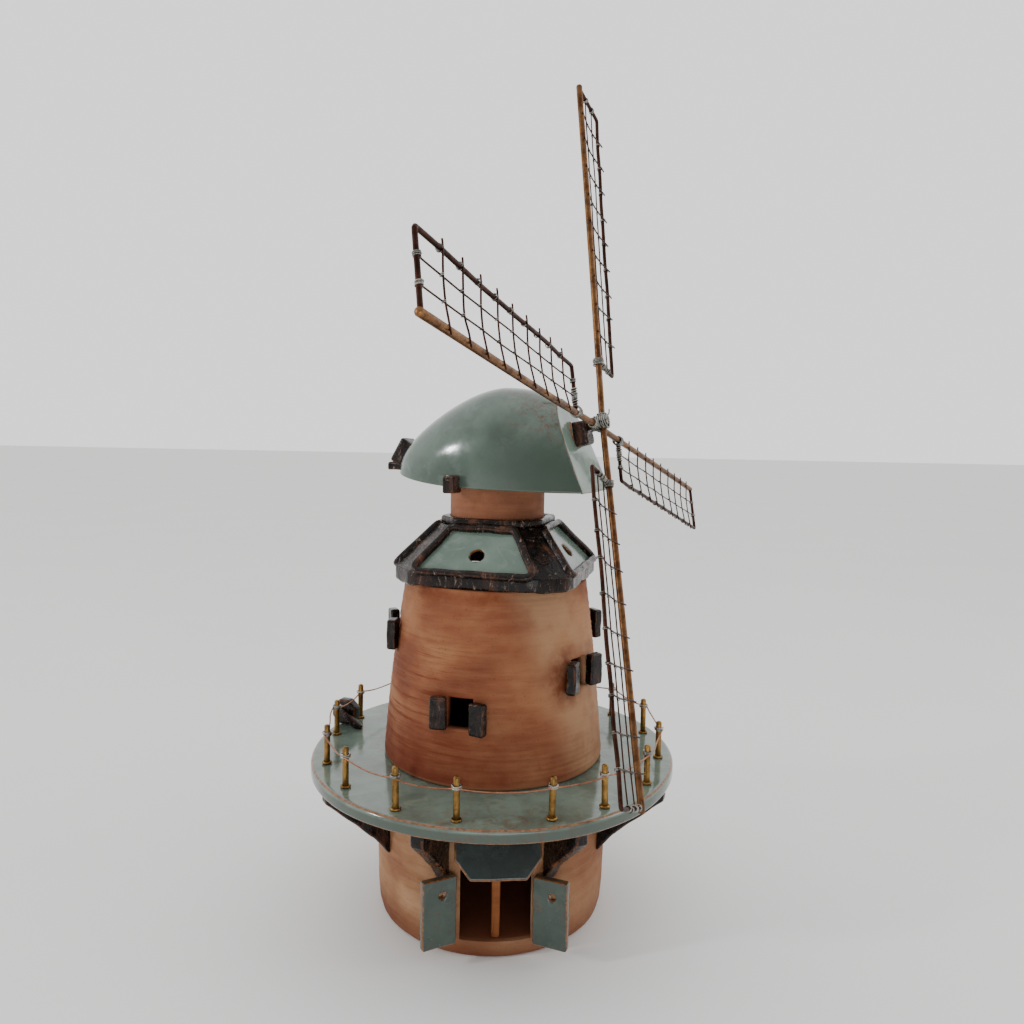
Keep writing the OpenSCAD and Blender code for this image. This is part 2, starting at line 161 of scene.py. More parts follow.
def tube(bag, path, r, sides, closed=False, tone=0.5):
    """A round section carried along a path, turned as little as possible, with its open ends rounded over."""
    p = np.asarray(path, float)
    r = np.full(len(p), r, float) if np.isscalar(r) else np.asarray(r, float)
    if closed:
        d = np.roll(p, -1, 0) - np.roll(p, 1, 0)
    else:
        d = np.gradient(p, axis=0)
        q = np.radians([0, 30, 60, 82])
        d0, d1 = d[0] / np.linalg.norm(d[0]), d[-1] / np.linalg.norm(d[-1])
        a = [p[0] - d0 * r[0] * 0.6 * math.sin(t) for t in q[:0:-1]]
        b = [p[-1] + d1 * r[-1] * 0.6 * math.sin(t) for t in q[1:]]
        p = np.concatenate([a, p, b])
        r = np.concatenate([r[0] * np.cos(q[:0:-1]), r, r[-1] * np.cos(q[1:])])
        d = np.concatenate([[d0] * 3, d, [d1] * 3])
    d = d / np.maximum(np.linalg.norm(d, axis=1)[:, None], 1e-9)
    up = np.array([0, 0, 1.0]) if abs(d[0][2]) < 0.9 else np.array([1.0, 0, 0])
    us = []
    for i in range(len(p)):
        up = up - d[i] * (up @ d[i])
        up = up / np.linalg.norm(up)
        us.append(up)
    us = np.array(us)
    ws = np.cross(d, us)
    th = np.arange(sides) * 2 * math.pi / sides
    around = np.cos(th)[None, :, None] * us[:, None] + np.sin(th)[None, :, None] * ws[:, None]
    v = p[:, None] + r[:, None, None] * around
    n = len(p)
    ng = [] if closed else [list(range(sides))[::-1], list(range((n - 1) * sides, n * sides))]
    bag.add(v, grid_quads(n, sides, wrap_r=closed), ng, tone=tone)


def helix(a, b, r, turns, steps=14, phase=0.0, jitter=0.0):
    """Points of a screw line of radius r round the line from a to b."""
    a, b = np.asarray(a, float), np.asarray(b, float)
    d = (b - a) / np.linalg.norm(b - a)
    u = np.cross(d, [0.3, 0.5, 0.8])
    u /= np.linalg.norm(u)
    w = np.cross(d, u)
    n = int(turns * steps)
    t = np.linspace(0, 1, n)
    th = phase + t * turns * 2 * math.pi
    rr = r * (1 + jitter * np.sin(th * 0.37 + 1) + jitter * 0.7 * np.sin(th * 1.91))
    return a + (b - a) * t[:, None] + rr[:, None] * (np.cos(th)[:, None] * u + np.sin(th)[:, None] * w)


def wind(bag, M, a, b, r, turns, wire, sides=8, steps=18, phase=0.5, jitter=0.07, tone=0.5):
    """A wire of radius wire wound as a screw line round the line from a to b, in the frame M."""
    tube(bag, at(M, helix(a, b, r, turns, steps, phase, jitter)), wire, sides, tone=tone)


def spline(pts, n=24):
    """A smooth line through the points: Catmull-Rom, evenly sampled between them."""
    p = np.asarray(pts, float)
    q = np.concatenate([[2 * p[0] - p[1]], p, [2 * p[-1] - p[-2]]])
    out = []
    for i in range(1, len(q) - 2):
        t = np.linspace(0, 1, max(2, n // (len(p) - 1)), endpoint=False)[:, None]
        a, b, c, d = q[i - 1], q[i], q[i + 1], q[i + 2]
        bend, twist = 2 * a - 5 * b + 4 * c - d, 3 * b - a - 3 * c + d
        out.append(0.5 * (2 * b + (c - a) * t + bend * t ** 2 + twist * t ** 3))
    return np.concatenate(out + [p[-1:]])


def round_poly(pts, rc, m=96):
    """A closed outline with its corners turned into arcs of radius rc, sampled evenly into m points."""
    p = np.asarray(pts, float)
    n = len(p)
    out = []
    for i in range(n):
        a, b, c = p[i - 1], p[i], p[(i + 1) % n]
        u, w = (a - b) / np.linalg.norm(a - b), (c - b) / np.linalg.norm(c - b)
        half = math.acos(np.clip(u @ w, -1, 1)) / 2
        cut = min(rc / max(math.tan(half), 0.05), 0.48 * np.linalg.norm(a - b), 0.48 * np.linalg.norm(c - b))
        for t in np.linspace(0, 1, 7):
            out.append((b + u * cut) * (1 - t) ** 2 + 2 * b * t * (1 - t) + (b + w * cut) * t ** 2)
    o = np.array(out)
    o2 = np.concatenate([o, o[:1]])
    s = np.concatenate([[0], np.cumsum(np.linalg.norm(np.diff(o2, axis=0), axis=1))])
    x = np.linspace(0, s[-1], m, endpoint=False)
    return np.stack([np.interp(x, s, o2[:, 0]), np.interp(x, s, o2[:, 1])], 1)


def normals2(o):
    """Outward normals of a closed anticlockwise outline."""
    d = np.roll(o, -1, 0) - np.roll(o, 1, 0)
    d /= np.linalg.norm(d, axis=1)[:, None]
    return np.stack([d[:, 1], -d[:, 0]], 1)


def rect(x0, x1, y0, y1):
    """The corners of a rectangle."""
    return [(x0, y0), (x1, y0), (x1, y1), (x0, y1)]


def slab(bag, pts, t, r, M, rc, hole=None, m=96, amp=0.18, size=24, seed=0):
    """A clay slab of thickness t, its edges rounded over by radius r and its corners by rc. Its faces are
    closed by rings drawn in to the middle, or to a round hole given by its centre and radius."""
    o = round_poly(pts, rc, m)
    if ((np.roll(o[:, 0], -1) - o[:, 0]) * (np.roll(o[:, 1], -1) + o[:, 1])).sum() > 0:
        o = o[::-1]
    nn = normals2(o)
    c = np.array(hole[:2]) if hole else o.mean(0)
    # each edge's arc: its step inwards, its height and its wear
    under, over = np.linspace(-math.pi / 2, 0, 6), np.linspace(0, math.pi / 2, 6)
    prof = [(r * (1 - math.cos(f)), r + r * math.sin(f), 1 - abs(f + 0.6) / 1.4) for f in under]
    prof += [(r * (1 - math.cos(f)), t - r + r * math.sin(f), 1 - abs(f - 0.6) / 1.4) for f in over]
    rings, edge = [], []
    if hole:
        h = c + hole[2] * (o - c) / np.linalg.norm(o - c, axis=1)[:, None]
    else:
        h = np.broadcast_to(c, o.shape)
    shares = [0.04, 0.15, 0.35, 0.6, 0.85, 0.96 if hole else 0.98]

    def face(z, order):
        inner = o - nn * r
        for f in order:
            rings.append(np.column_stack([inner * (1 - f) + h * f, np.full(m, z)]))
            edge.append(np.full(m, max(0, 0.25 - f * 2)))

    if hole:
        for share in (0.85, 0.15):
            rings.append(np.column_stack([h, np.full(m, t * share)]))
            edge.append(np.ones(m))
    face(0, shares[::-1])
    for i, z, e in prof:
        rings.append(np.column_stack([o - nn * i, np.full(m, z)]))
        edge.append(np.full(m, max(0, e)))
    face(t, shares)
    v = wobble(np.concatenate(rings), amp, size, seed)
    n = len(rings)
    ng = [] if hole else [list(range(m))[::-1], list(range((n - 1) * m, n * m))]
    bag.add(at(M, v), grid_quads(n, m, wrap_r=bool(hole)), ng, edge=np.concatenate(edge))


def slab_piece(node, mat, slot, *shape, **how):
    """A piece of the mill that is one slab and stands for one CAD node."""
    bag = Bag()
    slab(bag, *shape, **how)
    bag.build(node + "_look", "mill", mat, slot, [node])


def paint(node, mat):
    """Gives a CAD node its material, and hands the node back."""
    o = NODES[node]
    o.data.materials.clear()
    o.data.materials.append(mat)
    return o


def sweep_ring(bag, o, prof, M, amp, size, seed, drip=None):
    """A closed section swept round a closed outline: each of its points is a step outwards, a height and
    its wear."""
    nn = normals2(o)
    pr = np.asarray(prof, float)
    m, n = len(o), len(pr)
    v = np.zeros((n, m, 3))
    v[:, :, :2] = o[None] + pr[:, None, :1] * nn[None]
    v[:, :, 2] = pr[:, 1][:, None]
    if drip is not None:
        v[:, :, 2] += drip(pr[:, None, :], np.arange(m)[None] / m)
    e = np.broadcast_to(pr[:, 2][:, None], (n, m))
    v = wobble(v.reshape(-1, 3), amp, size, seed)
    bag.add(at(M, v), grid_quads(n, m, wrap_r=True)[:, ::-1], edge=e)


def box_profile(x0, x1, z0, z1, r):
    """A band's section, anticlockwise, with rounded corners: each point's step outwards, height and wear."""
    pts = []
    corners = [(x1 - r, z0 + r, -90), (x1 - r, z1 - r, 0), (x0 + r, z1 - r, 90), (x0 + r, z0 + r, 180)]
    for cx, cz, a0 in corners:
        for a in np.radians(np.linspace(a0, a0 + 90, 6)):
            pts.append((cx + r * math.cos(a), cz + r * math.sin(a), 1 - abs(math.degrees(a) - a0 - 45) / 60))
    return pts


def ring_pts(a, w, e):
    """An eased square: flat sides of half-width w at distance a, with cut corners softened by e."""
    k = e * 0.7071
    out = []
    for q in range(4):
        c, d = [1, 0, -1, 0][q], [0, 1, 0, -1][q]
        for x, y in ((-w + e, -a), (w - e, -a), (w + k, -a + k), (a - k, -w - k)):
            out.append((c * x - d * y, d * x + c * y))
    return out


# ---------- materials ----------
def lin(h):
    """A linear colour from an sRGB hex."""
    c = [int(h[i:i + 2], 16) / 255 for i in (0, 2, 4)]
    return tuple((x / 12.92 if x <= 0.04045 else ((x + 0.055) / 1.055) ** 2.4) for x in c) + (1.0,)


class Mat:
    """A material's node tree, with short names for the nodes that the finishes below are made of."""
    def __init__(self, name):
        self.m = bpy.data.materials.new(name)
        self.m.use_nodes = True
        self.t = self.m.node_tree
        self.b = self.t.nodes["Principled BSDF"]
        self.co = self.node("ShaderNodeTexCoord").outputs["Object"]

    def node(self, kind, ins=None, **props):
        n = self.t.nodes.new(kind)
        for k, v in props.items():
            setattr(n, k, v)
        for k, v in (ins or {}).items():
            self.set(n.inputs[k], v)
        return n

    def set(self, sock, v):
        if isinstance(v, bpy.types.NodeSocket):
            self.t.links.new(v, sock)
        else:
            sock.default_value = v

    def noise(self, scale, detail=4.0, rough=0.55, co=None, dist=0.0):
        """Noise whose features are about scale millimetres across."""
        ins = {"Vector": co or self.co, "Scale": 1000.0 / scale, "Detail": detail, "Roughness": rough,
               "Distortion": dist}
        return self.node("ShaderNodeTexNoise", ins).outputs["Fac"]

    def stretch(self, x, y, z):
        """The point's place with each axis scaled."""
        return self.node("ShaderNodeMapping", {"Vector": self.co, "Scale": (x, y, z)}).outputs["Vector"]

    def from_axis(self):
        """How far a point lies from the mill's upright middle line, in metres."""
        flat = self.stretch(1, 1, 0)
        return self.node("ShaderNodeVectorMath", {0: flat}, operation="LENGTH").outputs["Value"]

    def ramp(self, fac, *stops):
        n = self.node("ShaderNodeValToRGB", {"Fac": fac})
        cr = n.color_ramp
        while len(cr.elements) < len(stops):
            cr.elements.new(0.5)
        for e, (p, c) in zip(cr.elements, stops):
            e.position = p
            e.color = c if not np.isscalar(c) else (c, c, c, 1)
        return n.outputs["Color"]

    def mix(self, fac, a, b, blend="MIX"):
        n = self.node("ShaderNodeMix", data_type="RGBA", blend_type=blend)
        self.set(n.inputs[0], fac)
        self.set(n.inputs[6], a)
        self.set(n.inputs[7], b)
        return n.outputs[2]

    def math(self, op, a, b=0.0, c=0.0, clamp=False):
        n = self.node("ShaderNodeMath", operation=op, use_clamp=clamp)
        self.set(n.inputs[0], a)
        self.set(n.inputs[1], b)
        self.set(n.inputs[2], c)
        return n.outputs[0]

    def times(self, a, *more):
        """The product of sockets and numbers."""
        for b in more:
            a = self.math("MULTIPLY", a, b)
        return a

    def attr(self, name):
        return self.node("ShaderNodeAttribute", attribute_name=name).outputs["Fac"]

    def axis(self, k):
        return self.node("ShaderNodeSeparateXYZ", {"Vector": self.co}).outputs[k]

    def fade(self, v, a, b):
        """0 where v is a, 1 where it is b, smooth between."""
        ins = {"Value": v, "From Min": a, "From Max": b, "To Min": 0.0, "To Max": 1.0}
        return self.node("ShaderNodeMapRange", ins, interpolation_type="SMOOTHSTEP").outputs["Result"]

    def bump(self, *layers):
        """Height layers in millimetres, each (socket, height), chained."""
        n = None
        for sock, mm in layers:
            b = self.node("ShaderNodeBump", {"Height": sock, "Strength": 1.0, "Distance": mm * K})
            if n is not None:
                self.t.links.new(n.outputs["Normal"], b.inputs["Normal"])
            n = b
        self.t.links.new(n.outputs["Normal"], self.b.inputs["Normal"])

    def out(self, **kw):
        for k, v in kw.items():
            self.set(self.b.inputs[k.replace("_", " ")], v)
        return self.m


def clay(name, pale, mid, dark, rings=1.0):
    """Unglazed terracotta stoneware, dry to the touch: throwing rings, a sanded grain, fine pits and
    flashing from the kiln."""
    m = Mat(name)
    big = m.noise(55, 3, 0.5, m.stretch(1, 1, 1.5))
    col = m.ramp(big, (0.34, dark), (0.5, mid), (0.66, pale))
    ringco = m.stretch(0.10, 0.10, 1.0)
    ring = m.noise(5.5, 4, 0.6, ringco, 0.25)
    col = m.mix(m.ramp(ring, (0.38, 0.0), (0.62, 0.5)), col, m.mix(0.55, col, pale))
    col = m.mix(m.ramp(m.noise(3.0, 5, 0.7, ringco), (0.50, 0.0), (0.72, 0.35)), col, dark)
    speck = m.noise(1.3, 2, 0.5)
    col = m.mix(m.ramp(speck, (0.62, 0.0), (0.72, 0.35)), col, lin("4A2416"))
    grooves = m.noise(2.0, 4, 0.6, m.stretch(0.25, 0.25, 1))
    m.bump((ring, 0.35 * rings), (grooves, 0.10 * rings), (m.noise(0.7, 3, 0.6), 0.05))
    return m, col


def clay_out(m, col, rough=0.7):
    """Bare fired clay is matt, so it is rough and mirrors little."""
    r = m.ramp(m.noise(6, 3), (0.3, rough - 0.08), (0.7, rough + 0.1))
    return m.out(Base_Color=col, Roughness=r, IOR=1.5, Specular_IOR_Level=0.2)


def glaze_green(name, body, deep, stain=None, rough=0.10, speck=0.5, light=None, shade=None):
    """A celadon stoneware glaze, glossy and a little uneven, thin and orange-brown where it breaks over
    edges, with iron specks."""
    m = Mat(name)
    col = m.mix(m.ramp(m.noise(26, 4, 0.55), (0.36, 0.0), (0.68, 1.0)), body, deep)
    if light:
        col = m.mix(m.ramp(m.noise(14, 5, 0.6, None, 0.8), (0.52, 0.0), (0.70, 0.6)), col, light)
    # painted shade from the shade mask: the stage's rim and the cap's lower near side are made darker
    if shade is not None:
        col = m.mix(shade(m), col, lin("3A473D"))
    if stain is not None:
        col = m.mix(stain(m), col, lin("5A3020"))
    specks = m.ramp(m.noise(1.6, 2, 0.5), (0.69, 0.0), (0.75, speck))
    col = m.mix(specks, col, lin("4C2C1C"))
    bare = m.times(m.fade(m.attr("edge"), 0.40, 0.85), m.ramp(m.noise(4.5, 4, 0.6), (0.30, 0.6), (0.5, 1.0)))
    rust = m.mix(m.ramp(m.noise(2.5, 3), (0.4, 0.0), (0.6, 1.0)), lin("8A552C"), lin("5C3A1E"))
    col = m.mix(bare, col, rust)
    m.bump((m.noise(18, 2, 0.4), 0.30), (m.noise(3.5, 3, 0.5), 0.025))
    r = m.ramp(m.noise(9, 3), (0.35, rough), (0.75, rough + 0.10))
    return m.out(Base_Color=col, Roughness=r, IOR=1.52, Coat_Weight=0.15, Coat_Roughness=0.05)


def glaze_dark(name, streak=1.0, brown=0.5):
    """A tenmoku glaze: black-brown, glossy, running to rust brown in streaks and over edges."""
    m = Mat(name)
    run = m.noise(9, 5, 0.68, m.stretch(1, 1, 0.35), 0.7)
    col = m.ramp(run, (0.40, lin("0B0807")), (0.50, lin("1C110D")), (0.57, lin("38221A")),
                 (0.70, lin("5E3C2A")))
    col = m.mix(m.ramp(m.noise(24, 3), (0.46, 0.0), (0.58, 0.92)), col, lin("0D0A09"))
    # pale grey streaks on raised bumps: partly dry glaze, partly painted highlight
    dry = m.noise(3.2, 6, 0.75, m.stretch(1, 1, 0.35), 0.6)
    col = m.mix(m.ramp(dry, (0.58, 0.0), (0.65, 0.85 * streak)), col, lin("8A7466"))
    patches = m.ramp(m.noise(5, 4, 0.65), (0.42, 0.0), (0.62, 1.0))
    col = m.mix(m.times(m.fade(m.attr("edge"), 0.55, 1.0), patches, brown), col, lin("7A451F"))
    m.bump((m.noise(8, 4, 0.6), 0.7), (dry, 0.15))
    r = m.ramp(m.noise(5, 3), (0.35, 0.18), (0.75, 0.40))
    return m.out(Base_Color=col, Roughness=r, IOR=1.5, Specular_IOR_Level=0.25)


def metal(name, base, dark, rough, wear):
    """A bare drawn rod or wire: bright metal under a patchy brown tarnish, with faint draw lines."""
    m = Mat(name)
    col = m.mix(m.ramp(m.noise(9, 4, 0.6), (0.40, 0.0), (0.62, wear)), base, dark)
    col = m.mix(m.ramp(m.noise(1.6, 3, 0.6), (0.55, 0.0), (0.72, 0.7)), col, dark)
    col = m.mix(m.times(m.attr("tone"), 0.5), col, dark)
    m.bump((m.noise(2.0, 3, 0.5), 0.03))
    r = m.ramp(m.noise(3, 3), (0.35, rough), (0.7, rough + 0.2))
    return m.out(Base_Color=col, Roughness=r, Metallic=1.0)


def base_clay():
    """The base drum's terracotta: pale peach, darker and redder to the right as painted shade, redder low
    down, painted pale inside as painted light, with a darker floor."""
    m, c = clay("terracotta_base", lin("B18B6A"), lin("986E4E"), lin("7A4C32"))
    # painted shade: the right side is made darker and redder
    c = m.mix(m.times(m.fade(m.axis(0), 0.0, 0.085), 0.5), c, lin("7C4C30"))
    c = m.mix(m.times(m.fade(m.axis(2), 0.035, 0.0), 0.6), c, lin("64301A"))
    r = m.from_axis()
    # painted light: the drum's inside is painted pale to brighten it
    c = m.mix(m.fade(r, 0.0768, 0.0758), c, lin("E2D0C4"))
    floor = m.times(m.fade(m.axis(2), 0.0165, 0.0125), m.fade(r, 0.0785, 0.0765))
    return clay_out(m, m.mix(floor, c, lin("7A4630")))


def tower_clay():
    """The tower's terracotta: orange-brown, with flashing from the kiln in patches and painted shade under
    the eave.
    """
    m, c = clay("terracotta_tower", lin("9A6A48"), lin("804A30"), lin("683420"))
    x, y, z = m.axis(0), m.axis(1), m.axis(2)
    # redder low down
    low = m.times(m.fade(z, 0.165, 0.118), m.ramp(m.noise(40, 3), (0.35, 0.35), (0.6, 1.0)), 0.85)
    c = m.mix(low, c, lin("622412"))
    # dark iron rings down the left side
    rings = m.ramp(m.noise(3.2, 5, 0.7, m.stretch(0.05, 0.05, 1), 0.3), (0.50, 0.0), (0.60, 1.0))
    left = m.times(m.fade(x, 0.010, -0.050), m.fade(z, 0.112, 0.130), m.fade(z, 0.215, 0.180))
    c = m.mix(m.times(rings, left, 0.75), c, lin("66280F"))
    # painted shade: dark patches under the eave's overhang
    top = m.times(m.fade(z, 0.218, 0.232), m.ramp(m.noise(26, 4, 0.6), (0.42, 0.0), (0.58, 0.8)))
    c = m.mix(top, c, lin("6A3216"))
    # a paler bare zone that slants down from the upper middle to the right foot, on the near side
    off = m.math("ABSOLUTE", m.math("SUBTRACT", x, m.math("MULTIPLY_ADD", z, -0.36, 0.113)))
    patches = m.ramp(m.noise(20, 4, 0.6), (0.32, 0.45), (0.55, 1.0))
    c = m.mix(m.times(m.fade(off, 0.034, 0.006), m.fade(y, 0.0, -0.02), patches, 0.8), c, lin("A07C5C"))
    # a dark halo beside the window on the right
    near = m.node("ShaderNodeVectorMath", {0: m.co, 1: (0.046, -0.056, 0.178)}, operation="DISTANCE")
    patches = m.ramp(m.noise(9, 4, 0.6), (0.36, 0.35), (0.58, 1.0))
    c = m.mix(m.times(m.fade(near.outputs["Value"], 0.027, 0.010), patches, 0.8), c, lin("64260F"))
    # paler where the foot was wiped
    return clay_out(m, m.mix(m.times(m.fade(z, 0.1135, 0.1115), 0.6), c, lin("8F6A4C")))


def rim_shade(m):
    """Painted shade: the stage's glaze is made darker down its rim."""
    return m.times(m.fade(m.axis(2), DECK * K - 0.0012, DECK * K - 0.0032), 0.9)


def leaf_stain(m):
    """Patches where the doors' glaze is thin and the clay shows."""
    return m.ramp(m.noise(8, 5, 0.7, None, 0.5), (0.56, 0.0), (0.70, 0.6))


def stage_stain(m):
    """Iron stains pooled on the front of the stage and round the tower's foot."""
    foot = m.math("SUBTRACT", 1.0, m.fade(m.from_axis(), 0.076, 0.090))
    middle = m.math("SUBTRACT", 1.0, m.fade(m.math("ABSOLUTE", m.axis(0)), 0.02, 0.075))
    front = m.times(m.fade(m.axis(1), -0.085, -0.115), middle)
    where = m.math("MAXIMUM", m.times(foot, 0.7), m.times(front, 0.6))
    pools = m.times(where, m.ramp(m.noise(7, 5, 0.65, None, 0.5), (0.48, 0.0), (0.66, 0.8)))
    return m.math("ADD", pools, m.ramp(m.noise(16, 5, 0.65), (0.64, 0.0), (0.78, 0.22)), clamp=True)


def cap_shade(m):
    """Painted shade and painted dark reflection: the cap is made darker low on the near right."""
    return m.times(m.fade(m.axis(2), 0.356, 0.312), m.fade(m.axis(0), -0.045, 0.015), 0.95)


def cap_speck(m):
    """Rust-brown freckles, most of them high up towards the face."""
    high = m.times(m.fade(m.axis(0), -0.01, 0.03), m.fade(m.axis(2), 0.325, 0.345))
    few = m.ramp(m.noise(5, 5, 0.7, None, 0.4), (0.62, 0.0), (0.72, 0.35))
    many = m.ramp(m.noise(4, 6, 0.75, None, 0.6), (0.48, 0.0), (0.60, 0.7))
    return m.math("MAXIMUM", few, m.times(many, high))


MAT_BASE = base_clay()
MAT_TOWER = tower_clay()
# the neck's terracotta, smoother than the tower's
MAT_NECK = clay_out(*clay("terracotta_neck", lin("96644A"), lin("805036"), lin("633A27"), 0.6))
# the door post's terracotta
MAT_POST = clay_out(*clay("terracotta_inside", lin("9A6038"), lin("7E4826"), lin("643419"), 0.8))
# celadon on the stage, clearer where it lies thin, stained with iron, and with painted shade down its rim
MAT_STAGE = glaze_green("celadon_stage", lin("6A7B70"), lin("515F55"), stage_stain, 0.10, 0.35,
                        lin("788776"), rim_shade)
# celadon on the doors, a greyer green
MAT_LEAF = glaze_green("celadon_doors", lin("3E4B43"), lin("2E3A34"), leaf_stain, 0.2, 0.3, lin("4B574D"))
# celadon on the hood over the door, painted dark as the shade under the stage
MAT_HOOD = glaze_green("celadon_hood", lin("1F2A27"), lin("151C1A"), None, 0.14, 0.2, lin("34403B"))
# paler celadon on the roof panels
MAT_PANEL = glaze_green("celadon_panels", lin("697C70"), lin("576A5F"), None, 0.16, 0.35, lin("7C8C7F"))
# celadon on the cap, glossy and freckled, with painted shade low on the near right
MAT_CAP = glaze_green("celadon_cap", lin("596A5F"), lin("435248"), cap_speck, 0.12, 0.5,
                      lin("64736A"), cap_shade)
# the palest celadon, on the cap's face and the collar
MAT_FACE = glaze_green("celadon_cap_face", lin("788C80"), lin("64786C"), None, 0.16, 0.35, lin("8A9A8E"))
# tenmoku on the roof's frame, with pale grey streaks, partly dry glaze and partly painted highlight
MAT_DARK = glaze_dark("tenmoku_trim", 1.0, 0.4)
# tenmoku on the corbels, browner over their edges
MAT_CORBEL = glaze_dark("tenmoku_corbels", 0.3, 0.9)
# tenmoku on the shutters, even and dark
MAT_SHUTTER = glaze_dark("tenmoku_shutters", 0.3, 0.5)
# yellow brass rod, tarnished brown
MAT_BRASS = metal("brass_posts", lin("A17C45"), lin("3A2612"), 0.32, 0.6)
# redder brass rod, heated and duller
MAT_STOCK = metal("brass_stocks", lin("8A6442"), lin("44281A"), 0.38, 0.8)
# dark bronze rod and wire
MAT_FRAME = metal("bronze_frame_rod", lin("50342A"), lin("20120E"), 0.38, 0.7)
MAT_WIRE = metal("bronze_sail_wire", lin("4C3026"), lin("241612"), 0.40, 0.5)
# bright copper wire
MAT_RAIL = metal("copper_rail_wire", lin("A9765C"), lin("5F3A2C"), 0.32, 0.5)
# tinned wire, grey and shiny
MAT_TIE = metal("tinned_tie_wire", lin("A9A7A0"), lin("4E4A45"), 0.28, 0.7)

# ---------- base ----------
def soften(o, w):
    """Merges the CAD mesh's split points, rounds its edges by w millimetres and evens its shading."""
    weld = o.modifiers.new("weld", "WELD")
    weld.merge_threshold = 0.00002
    bevel = o.modifiers.new("round", "BEVEL")
    bevel.width = w * K
    bevel.segments = 3
    bevel.limit_method = "ANGLE"
    bevel.angle_limit = math.radians(35)
    o.modifiers.new("shade", "WEIGHTED_NORMAL").weight = 60


soften(paint("base_wall", MAT_BASE), 1.6)

slab_piece("door_post", MAT_POST, "clay_wall", rect(-2.7, 2.7, 0, DOOR_TOP - FLOOR_H - 0.6), 4, 1.1,
           place((0, -(BASE_R - 4.6), FLOOR_H + 0.2), rot(x=90), (0, 0, -4)), rc=0.8, m=64, amp=0.15)

# each leaf: its side, its step out from the jamb, its foot's height and its hole's place across
for side, name, step, foot, across in ((-1, "leaf_left", 4, 13.5, 0.42), (1, "leaf_right", 2, 11.5, 0.56)):
    M = place((side * (DOOR_W / 2 + step), -(BASE_R - HINGE_IN), foot), rot(z=-side * LEAF_SWING),
              (0, -LEAF_T, 0), rot(x=90), (0, 0, -LEAF_T))
    slab_piece(name, MAT_LEAF, "green_glaze", rect(0, side * LEAF_W, 0, LEAF_H), LEAF_T, 1.1, M, rc=1.6,
               hole=(side * LEAF_W * across, 34, 2.5), m=120, amp=0.22, seed=3 + side)

hood_rise = BASE_H - 0.3 - HOOD_Z
hood_len = math.hypot(HOOD_RUN, hood_rise) + 2
half = [(HOOD_LIP, 0), (HOOD_W, 12), (HOOD_W, hood_len)]
M = place((0, -BASE_R - HOOD_OUT, HOOD_Z), rot(x=math.degrees(math.atan2(hood_rise, HOOD_RUN))), (0, 0, -6))
slab_piece("door_hood", MAT_HOOD, "green_glaze", [(-x, y) for x, y in half[::-1]] + half, 6, 1.7, M,
           rc=2.5, m=160, amp=0.3, size=30, seed=5)

bag = Bag()
top = BASE_H - 0.2
for i, a in enumerate(CORBEL_AZ):
    # the two by the door stop short of the stage's edge and have deeper tips
    out, tip = (STAGE_R - 8, 10) if i < 2 else (STAGE_R - 1.5, 5)
    pts = [(-BASE_R + 0.2, top), (-out, top), (-out, top - tip), (-(BASE_R + 11), top - CORBEL_H + 13),
           (-BASE_R - 1.5, top - CORBEL_H), (-BASE_R + 0.2, top - CORBEL_H)]
    slab(bag, pts, CORBEL_T, 2.0, place(rot(z=a), (-CORBEL_T / 2, 0, 0), UPRIGHT),
         rc=2.0, m=140, amp=0.5, size=26, seed=20 + i)
bag.build("corbels_look", "mill", MAT_CORBEL, "dark_glaze", ["corbels"])


# ---------- stage ----------
def disc():
    """The stage: a section from the middle of the underside round the edge to the middle of the top, turned
    about the middle line. Sine waves put the rim a little out of round and out of flat."""
    r0, r1, m = 2.2, 2.4, 320
    prof = [(r, BASE_H, 0) for r in (0.5, 20, 60, 90, 118, 124.5)]
    prof += [(STAGE_R - r0 + r0 * math.cos(a), BASE_H + r0 + r0 * math.sin(a),
              0.9 * max(0, math.sin(a * 2 + 3.14))) for a in np.radians(np.linspace(-80, 0, 6))]
    prof += [(STAGE_R - r1 + r1 * math.cos(a), DECK - r1 + r1 * math.sin(a),
              max(0, 1.1 - abs(math.degrees(a) - 55) / 40)) for a in np.radians(np.linspace(0, 85, 8))]
    inwards = (124.6, 122, 117, 110, 100, 88, 74, 55, 30, 0.5)
    prof += [(r, DECK - 0.02, 0.2 if r > 124 else 0) for r in inwards]
    pr = np.array(prof)
    r, z, n = pr[:, :1], pr[:, 1:2], len(pr)
    th = np.linspace(0, 2 * math.pi, m, endpoint=False)
    rim = np.where(r > 95, 1 + 0.004 * np.sin(2 * th + 0.7) + 0.0025 * np.sin(5 * th + 2), 1)
    sway = np.where(r > 80, 0.25 * np.sin(3 * th + 1.1), 0) * (r / STAGE_R)
    bag = Bag()
    bag.add(np.stack([r * np.cos(th) * rim, r * np.sin(th) * rim, z + sway], -1), grid_quads(n, m),
            [list(range(m))[::-1], list(range((n - 1) * m, n * m))], edge=np.repeat(pr[:, 2], m))
    return bag


disc().build("gallery_deck_look", "mill", MAT_STAGE, "green_glaze", ["gallery_deck"])

